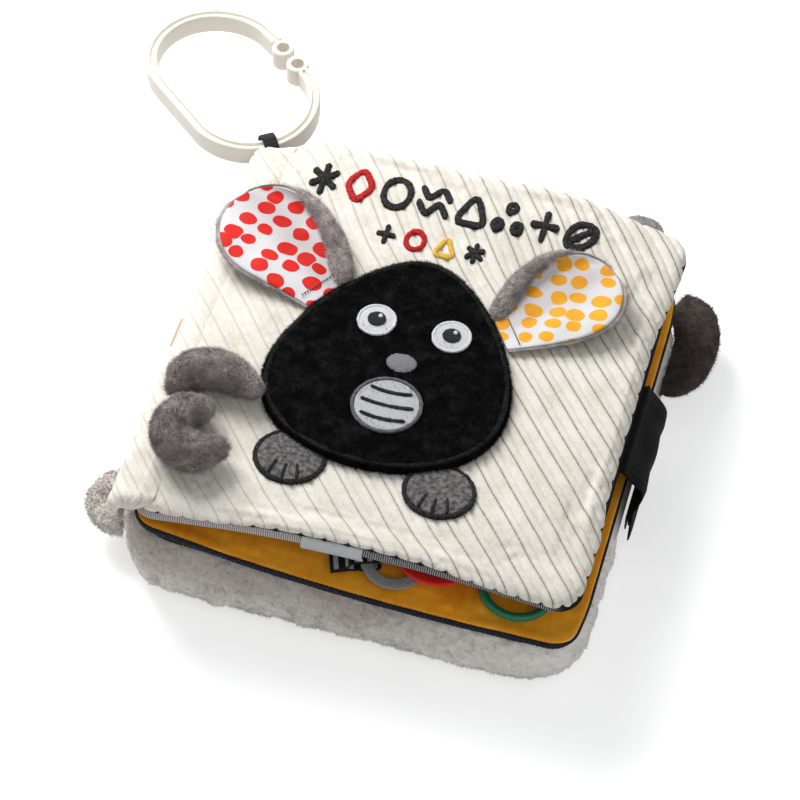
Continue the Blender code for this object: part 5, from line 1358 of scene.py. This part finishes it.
def make_strap():
    """The black satin strap with its sewn root, stitched edges and fastening patches."""
    start_x, start_z, tip_z, settle = 0.0919, 0.0494, 0.0065, 0.0049
    half_width, half_thick = 0.022, 0.0007
    share, ys = np.linspace(0, 1, 46)[:, None], np.linspace(-1, 1, 41)
    bow = np.maximum(np.sin(math.pi * np.minimum(share / 0.62, 1)) * (0.0062 - settle * 0.6), 0)
    middle = np.hstack([start_x + settle * smooth(share / 0.30) + bow,
                        start_z + (tip_z - start_z) * share])
    normal = left_of(directions(middle))
    waist = 1 - 0.10 * np.sin(math.pi * share) ** 2 - 0.03 * smooth((share - 0.9) / 0.1)
    ripple = 0.35 * MM * np.sin(ys * 7 + share * 3) * np.sin(math.pi * share)
    thick = half_thick * (1 - 0.6 * ys ** 8)
    outer, inner = (np.insert(middle[:, None] + normal[:, None] * (way * thick + ripple)[..., None],
                              1, strap_y + half_width * waist * ys, 2) for way in (1, -1))
    piece = Piece("strap_satin")
    add_skin(piece, np.concatenate([outer, inner[:, ::-1]], 1))
    piece.make(black_satin, "strap", "satin_black", ["closing_strap"])

    root = catmull([(0.0850, 0.0478), (0.0878, 0.0480), (0.0902, 0.0486), (0.0917, 0.0490)], 6)
    section = box_section(0.0218, 0.6 * MM, 48, 0.2)
    piece = Piece("strap_root")
    add_skin(piece, np.array([np.insert(section + [strap_y, z], 0, x, 1) for x, z in root]))
    piece.make(black_satin, "front_cover", "satin_black")

    pitch = 0.5 * MM
    piece = Piece("strap_stitching")
    for side in (4, 36):
        line = resample(outer[2:-2, side], pitch)
        way = directions(line)
        dash = np.where(np.arange(len(line)) % 5 < 4, 1.0, 0.2)[:, None, None]
        sweep(piece, line, np.array([0, 1.0, 0]), box_section(0.22 * MM, 0.16 * MM, 6) * dash,
              np.stack([-way[:, 2], np.zeros(len(way)), way[:, 0]], -1),
              run=np.arange(len(line)) * pitch)
    piece.make(black_thread, "strap", "satin_black")

    for node, body in [("strap_loop_patch", "back_cover"), ("strap_hook_patch", "strap")]:
        low, high = np.array(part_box(node))
        ys, zs = np.meshgrid(np.linspace(low[1], high[1], 24), np.linspace(low[2], high[2], 14))
        face = np.stack([high[0] + 0.06 * MM * random.random(ys.shape), ys, zs], -1)
        back = np.stack([np.full(ys.shape, low[0]), ys, zs], -1)
        rows = np.concatenate([back[:, :1], face, back[:, -1:]], 1)
        numbers = np.arange(rows[..., 0].size).reshape(rows.shape[:2])
        piece = Piece(node + "_loops")
        piece.add(rows, grid_faces(*numbers.shape))
        for ring in (numbers[0], numbers[-1], np.concatenate([numbers[:, 0], numbers[::-1, -1]])):
            piece.add_ring_face(ring)
        piece.make(black_tape, body, "satin_black", [node])


def refined(node, voxel, wobble):
    """Points and quads of a smooth, even, slightly wrinkled copy of a CAD solid."""
    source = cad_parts[node].data
    mesh = bpy.data.meshes.new(node + "_base")
    mesh.from_pydata([v.co for v in source.vertices], [], [list(p.vertices) for p in source.polygons])
    helper = new_object(node + "_base", mesh)
    remesh = helper.modifiers.new("remesh", "REMESH")
    remesh.mode, remesh.voxel_size = "VOXEL", voxel
    relax = helper.modifiers.new("relax", "SMOOTH")
    relax.iterations, relax.factor = 5, 0.5
    bpy.context.view_layer.update()
    made = helper.evaluated_get(bpy.context.evaluated_depsgraph_get()).to_mesh()
    points, normals = (np.array([getattr(v, key) for v in made.vertices]) for key in ("co", "normal"))
    faces = np.array([(*p.vertices, p.vertices[-1])[:4] for p in made.polygons])
    bpy.data.objects.remove(helper)
    move = 0.15 * MM + wobble * lumps(points, 5 * MM, 2, 2.0)
    return points + normals * move[:, None], faces


def make_side_pieces():
    """The side ear, the leg and hoof, the fleece tuft and the ribbon tab."""
    for node, name, body, slot, material, voxel, hair, length, fill in [
            ("side_ear_plush", "side_ear_fur", "side_ear", "plush_dark", dark_pile, 0.8, 3.2, 1.9, 0.3),
            ("side_ear_lining", "side_ear_under", "side_ear", "plush_grey_pale", pale_pile, 0.6, 2.6,
             1.6, None),
            ("top_leg", "leg_fur", "leg_tab", "plush_grey_pale", leg_pile, 0.9, 3.0, 1.5, 0.7),
            ("top_leg_hoof", "hoof_fur", "leg_tab", "plush_dark", hoof_pile, 0.8, 3.0, 1.5, 0.7),
            ("fleece_tuft", "tuft_curls", "tuft", "fleece", fleece, 0.9, 1.6, 2.3, 0.7)]:
        wobble, thick = (0.8, 0.50) if material is fleece else (0.3, 0.22)
        points, faces = refined(node, voxel * MM, wobble * MM)
        piece = Piece(name)
        piece.add(points, faces)
        fibres(piece, points, faces, hair, length * MM, thick * MM, (0, 0.4, 0), 0.6)
        piece.make(material, body, slot, [node], fill=fill)

    low, high = np.array(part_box("spine_ribbon_tab"))
    xs = np.linspace(high[0], low[0] + 0.0006, 16)
    drop = (xs - high[0]) / (low[0] - high[0])
    zs = high[2] - 0.0004 - drop * (high[2] - low[2] - 0.0012)
    centres = np.stack([xs, np.full(16, (low[1] + high[1]) / 2), zs], -1)
    scale = np.array([1] * 13 + [0.995, 0.97, 0.9])[:, None, None]
    piece = Piece("tan_tab")
    sweep(piece, centres, np.array([0, 1.0, 0]),
          box_section((high[1] - low[1]) / 2, 0.0006, 24, 0.25) * scale)
    piece.make(tan_ribbon, "back_cover", "ribbon_tan", ["spine_ribbon_tab"])


# Rings and link

def ring_frame(centre, radius, thickness, tilt, line_angle):
    """Where a ring lies over the page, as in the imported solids."""
    height = radius * math.sin(abs(tilt)) + thickness / 2 + 0.0004
    normal = Vector((math.sin(leaf_angle), 0, math.cos(leaf_angle)))
    page_z = page_mid_z - leaf_slope * centre[0] + page_rise
    line = Vector((math.cos(line_angle), math.sin(line_angle), 0))
    return (Matrix.Translation(Vector((*centre, page_z)) + normal * height)
            @ Matrix.Rotation(leaf_angle, 4, "Y") @ Matrix.Rotation(tilt, 4, line))


def in_frame(place, points):
    """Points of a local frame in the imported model's frame."""
    return points @ np.array(place.to_3x3()).T + np.array(place.translation)


def ring_piece(name, place, radius, bore, thickness, power, wobble, *made_of):
    """A ring with a soft rectangular or round section."""
    section = box_section((radius - bore) / 2, thickness / 2, 20, power, power)
    ring = np.insert(circle(120), 2, 0, 1)[:, None]
    loops = in_frame(place, ring * ((radius + bore) / 2 + section[:, :1]) + up_way * section[:, 1:])
    if wobble:
        loops = loops + (wobble * lumps(loops, 0.9 * MM, 2, 3.0))[..., None] * [0.3, 0.3, 1.0]
    piece = Piece(name)
    flat, faces = add_skin(piece, loops, True)
    if wobble:
        fibres(piece, flat, faces, 5.0, 0.6 * MM, 0.12 * MM, (0, 0, 0), 0.9)
    piece.make(*made_of)


def tape_loop(name, place, hole_half, hole_radius, stem, drop, width, *made_of):
    """A folded tape round a ring, with both layers sewn flat at its end."""
    thick, pitch, around = 0.00036, 0.35 * MM, 16
    inner = hole_radius + thick
    end, low = -hole_half - hole_radius - 0.0008 - stem, thick - drop
    line = [(end, low + 0.0007), (-hole_half - inner * 1.6, max(low + 0.0007, -inner * 0.35)),
            (-hole_half - inner * 0.75, inner * 0.70)]
    line += [(hole_half + inner * math.cos(turn), inner * math.sin(turn))
             for turn in np.radians(np.linspace(90, -90, 9))]
    line += [(-hole_half - inner * 0.45, -inner * 0.93),
             (-hole_half - inner * 1.6, max(low - 0.0001, -inner)), (end, low - 0.0001)]
    path = resample(catmull(line, 6), pitch)
    normal = np.insert(left_of(directions(path)), 1, 0, 1)[:, None]
    section = box_section(width / 2, thick, around, 0.2)
    grid = np.insert(path, 1, 0, 1)[:, None] + np.array([0, 1.0, 0]) * section[:, :1] \
        + normal * section[:, 1:]
    piece = Piece(name)
    add_skin(piece, in_frame(place, grid), along=np.repeat(np.arange(len(path)) * pitch, around),
             over=np.tile(np.cos(angles(around)), len(path)))
    piece.make(*made_of)


def make_toys():
    """The felt rings, the rubber ring and the tapes that hold them."""
    line, tilt, green_tilt = math.radians(20.0), math.radians(12.0), math.radians(4.6)
    felt_thick, green_thick, green_middle = 0.0018, 0.0034, 0.0135
    line_way = np.array([math.cos(line), math.sin(line)])
    grey_centre = np.array([0.0175, -0.0780])
    grey = ring_frame(grey_centre, 0.0130, felt_thick, tilt, line)
    red = ring_frame(grey_centre + 0.0162 * line_way, 0.0155, felt_thick, -tilt, line)
    green = ring_frame((0.0645, -0.0745), green_middle, green_thick, green_tilt, 0)
    ring_piece("felt_ring_grey", grey, 0.0130, 0.0088, felt_thick, 0.45, 0.05 * MM, grey_felt,
               "grey_ring", "felt_grey", ["grey_felt_ring"])
    ring_piece("felt_ring_red", red, 0.0155, 0.0105, felt_thick, 0.45, 0.05 * MM, red_felt,
               "red_ring", "felt_red", ["red_felt_ring"])
    ring_piece("rubber_ring", green, 0.0152, 0.0118, green_thick, 1.0, 0, green_rubber,
               "green_ring_body", "silicone_green", ["green_ring"])
    level = Matrix.Rotation(leaf_angle, 4, "Y")
    grey_middle = 0.0109
    crossing = grey @ Vector((*-line_way * grey_middle, 0))
    tape_loop("squares_band", Matrix.Translation(crossing) @ level @ Matrix.Rotation(line, 4, "Z"),
              (0.0042 + 0.0045 ** 2 / grey_middle) / 2, 0.0013 + 0.0045 * math.sin(tilt), 0.007,
              0.0130 * math.sin(tilt) + 0.0013, 0.009, squares_tape, "page", "ribbon_striped",
              ["toy_band"])
    crossing = green @ Vector((0, green_middle, 0))
    tape_loop("rubber_ring_tape",
              Matrix.Translation(crossing) @ level @ Matrix.Rotation(-math.pi / 2, 4, "Z"),
              0.0004, 0.0025, 0.006, 2 * green_middle * math.sin(green_tilt) + 0.0018, 0.007,
              black_satin, "page", "satin_black", ["green_ring_tab"])


def link_line(count):
    """The link's middle line, from one barrel round to the other."""
    half, end, gap, spacing = 0.0150, 0.0258, 0.0026, 0.0112
    straight, arc = 2 * half, math.pi * end
    first, last = half - gap - spacing / 2, half + gap - spacing / 2
    places = []
    for run in np.linspace(0, first + 2 * arc + straight + last, count):
        if run < first:
            u, v = gap + spacing / 2 + run, end
        elif run < first + arc:
            turn = (run - first) / end
            u, v = half + end * math.sin(turn), end * math.cos(turn)
        elif run < first + arc + straight:
            u, v = half - (run - first - arc), -end
        elif run < first + 2 * arc + straight:
            turn = (run - first - arc - straight) / end
            u, v = -half - end * math.sin(turn), -end * math.cos(turn)
        else:
            u, v = -half + (run - first - 2 * arc - straight), end
        if v > 0:
            v += 0.0018 * (v / end) ** 2 * math.cos(math.pi / 2 * u / (half + end))
        places.append((u, v, 0))
    return np.array(places)


def make_link():
    """The moulded link: a grooved band with a hollow barrel at each end, and its loop of tape."""
    half, high, middle_z = 0.0025, 0.00465, 0.0490 - 0.00465
    place = Matrix.Translation((-0.1125, 0.1325, middle_z)) @ Matrix.Rotation(math.radians(-40), 4, "Z")
    quarter = catmull([(half, 0.0), (half, high * 0.78), (half * 0.92, high * 0.93),
                       (half * 0.74, high), (half * 0.42, high), (0.0008, high * 0.985),
                       (0.00062, high - 0.0007), (0.00040, high - 0.00115),
                       (0.0, high - 0.0012)], 3)
    section = np.vstack([quarter[:-1], (quarter * [-1, 1])[:0:-1], -quarter[:-1],
                         (quarter * [1, -1])[:0:-1]])
    line = link_line(230)
    keep = slice(5, -5)
    sides = np.insert(left_of(directions(line)), 2, 0, 1) @ np.array(place.to_3x3()).T
    piece = Piece("link_band")
    sweep(piece, in_frame(place, line)[keep], sides[keep], section)
    wall = catmull([(0.0027, 0.0), (0.0027, high - 0.0004), (0.0029, high - 0.0001),
                    (0.0034, high), (0.0043, high), (0.0047, high - 0.0003), (0.0048, high * 0.8),
                    (0.0048, 0.0)], 4)
    wall = np.vstack([wall, (wall * [1, -1])[::-1][1:-1]])
    for end in (line[0], line[-1]):
        sweep(piece, np.tile(in_frame(place, end), (48, 1)), circle(48), wall, closed=True)
    piece.make(cream_plastic, "link", "plastic_cream", ["link_ring"])

    crossing = Vector((-0.08641, 0.10159, middle_z))
    turned = Matrix.Rotation(math.atan2(0.82355, -0.56725), 4, "Z")
    hole_radius = math.hypot(half, high) + 0.0010
    stem = (crossing.xy - Vector((-0.065, 0.0705))).length - 0.0228 - hole_radius
    tape_loop("hanging_tape", Matrix.Translation(crossing) @ turned, 0, hole_radius, stem,
              crossing.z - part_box("hang_loop")[0][2], 0.006, black_tape, "back_cover",
              "ribbon_black", ["hang_loop"])


# Stage, light and camera

def make_floor():
    """A plain pale floor that glows a little to the camera."""
    mesh = bpy.data.meshes.new("floor")
    mesh.from_pydata([(-3, -3, 0), (3, -3, 0), (3, 3, 0), (-3, 3, 0)], [], [(0, 1, 2, 3)])
    floor = new_object("floor", mesh)
    cloth = Cloth("floor_white", 0.9, shine=0.0)
    cloth.fill(cloth.shader, {"Base Color": (0.82, 0.82, 0.82)})
    glow = cloth.node("Emission", {"Strength": cloth.node("LightPath", {}, "Is Camera Ray") * 0.48})
    both = cloth.node("AddShader", {0: Field(cloth, cloth.shader.outputs[0]), 1: glow})
    cloth.fill(cloth.tree.nodes["Material Output"], {"Surface": both})
    mesh.materials.append(cloth.material)


def make_light():
    """A soft key from the upper left, a weaker fill and an even pale surrounding."""
    for name, power, size, spot in [("key", 8.6, 0.50, (-0.45, 0.40, 0.62)),
                                    ("fill", 2.0, 0.9, (0.55, -0.80, 0.70))]:
        lamp = bpy.data.lights.new(name, "AREA")
        lamp.energy, lamp.size = power, size
        holder = new_object(name, lamp)
        holder.location = spot
        ahead = Vector((0, 0, 0.03)) - Vector(spot)
        holder.rotation_euler = ahead.to_track_quat("-Z", "Y").to_euler()
    world = bpy.data.worlds.new("studio")
    room = Nodes(world)
    even = room.tree.nodes["Background"]
    room.fill(even, {"Color": (0.97, 0.985, 1.0), "Strength": 0.41})
    backdrop = room.node("Background", {"Color": (1, 1, 1), "Strength": 1.0})
    rays = room.node("LightPath", {}, "Is Camera Ray")
    seen = rays.maths("MAXIMUM", rays.output("Is Glossy Ray"))
    mixed = room.node("MixShader", {0: seen, 1: Field(room, even.outputs[0]), 2: backdrop})
    room.fill(room.tree.nodes["World Output"], {"Surface": mixed})
    bpy.context.scene.world = world
    bpy.context.scene.view_settings.view_transform = "Standard"


def make_camera():
    """The photograph's view."""
    azimuth, elevation, roll = math.radians(14.5), math.radians(52.0), math.radians(1.5)
    target, distance = Vector((-0.0032, 0.0054, 0.025)), 1.184
    back = Vector((math.sin(azimuth) * math.cos(elevation),
                   -math.cos(azimuth) * math.cos(elevation), math.sin(elevation)))
    level = Vector((math.cos(azimuth), math.sin(azimuth), 0))
    rise = back.cross(level)
    right = level * math.cos(roll) + rise * math.sin(roll)
    up = rise * math.cos(roll) - level * math.sin(roll)
    data = bpy.data.cameras.new("camera")
    data.lens, data.sensor_width, data.clip_end = 135.0, 36.0, 50.0
    camera = new_object("camera", data)
    camera.matrix_world = Matrix.Translation(target + back * distance) \
        @ Matrix((right, up, back)).transposed().to_4x4()
    bpy.context.scene.camera = camera


make_floor()
make_light()
make_camera()
make_cover()
make_spine_wrap()
make_cover_lining()
make_page()
make_back_cover()
make_spine_fleece()
make_body()
make_face()
make_paws()
make_motifs()
make_ears()
make_tail()
make_strap()
make_side_pieces()
make_toys()
make_link()
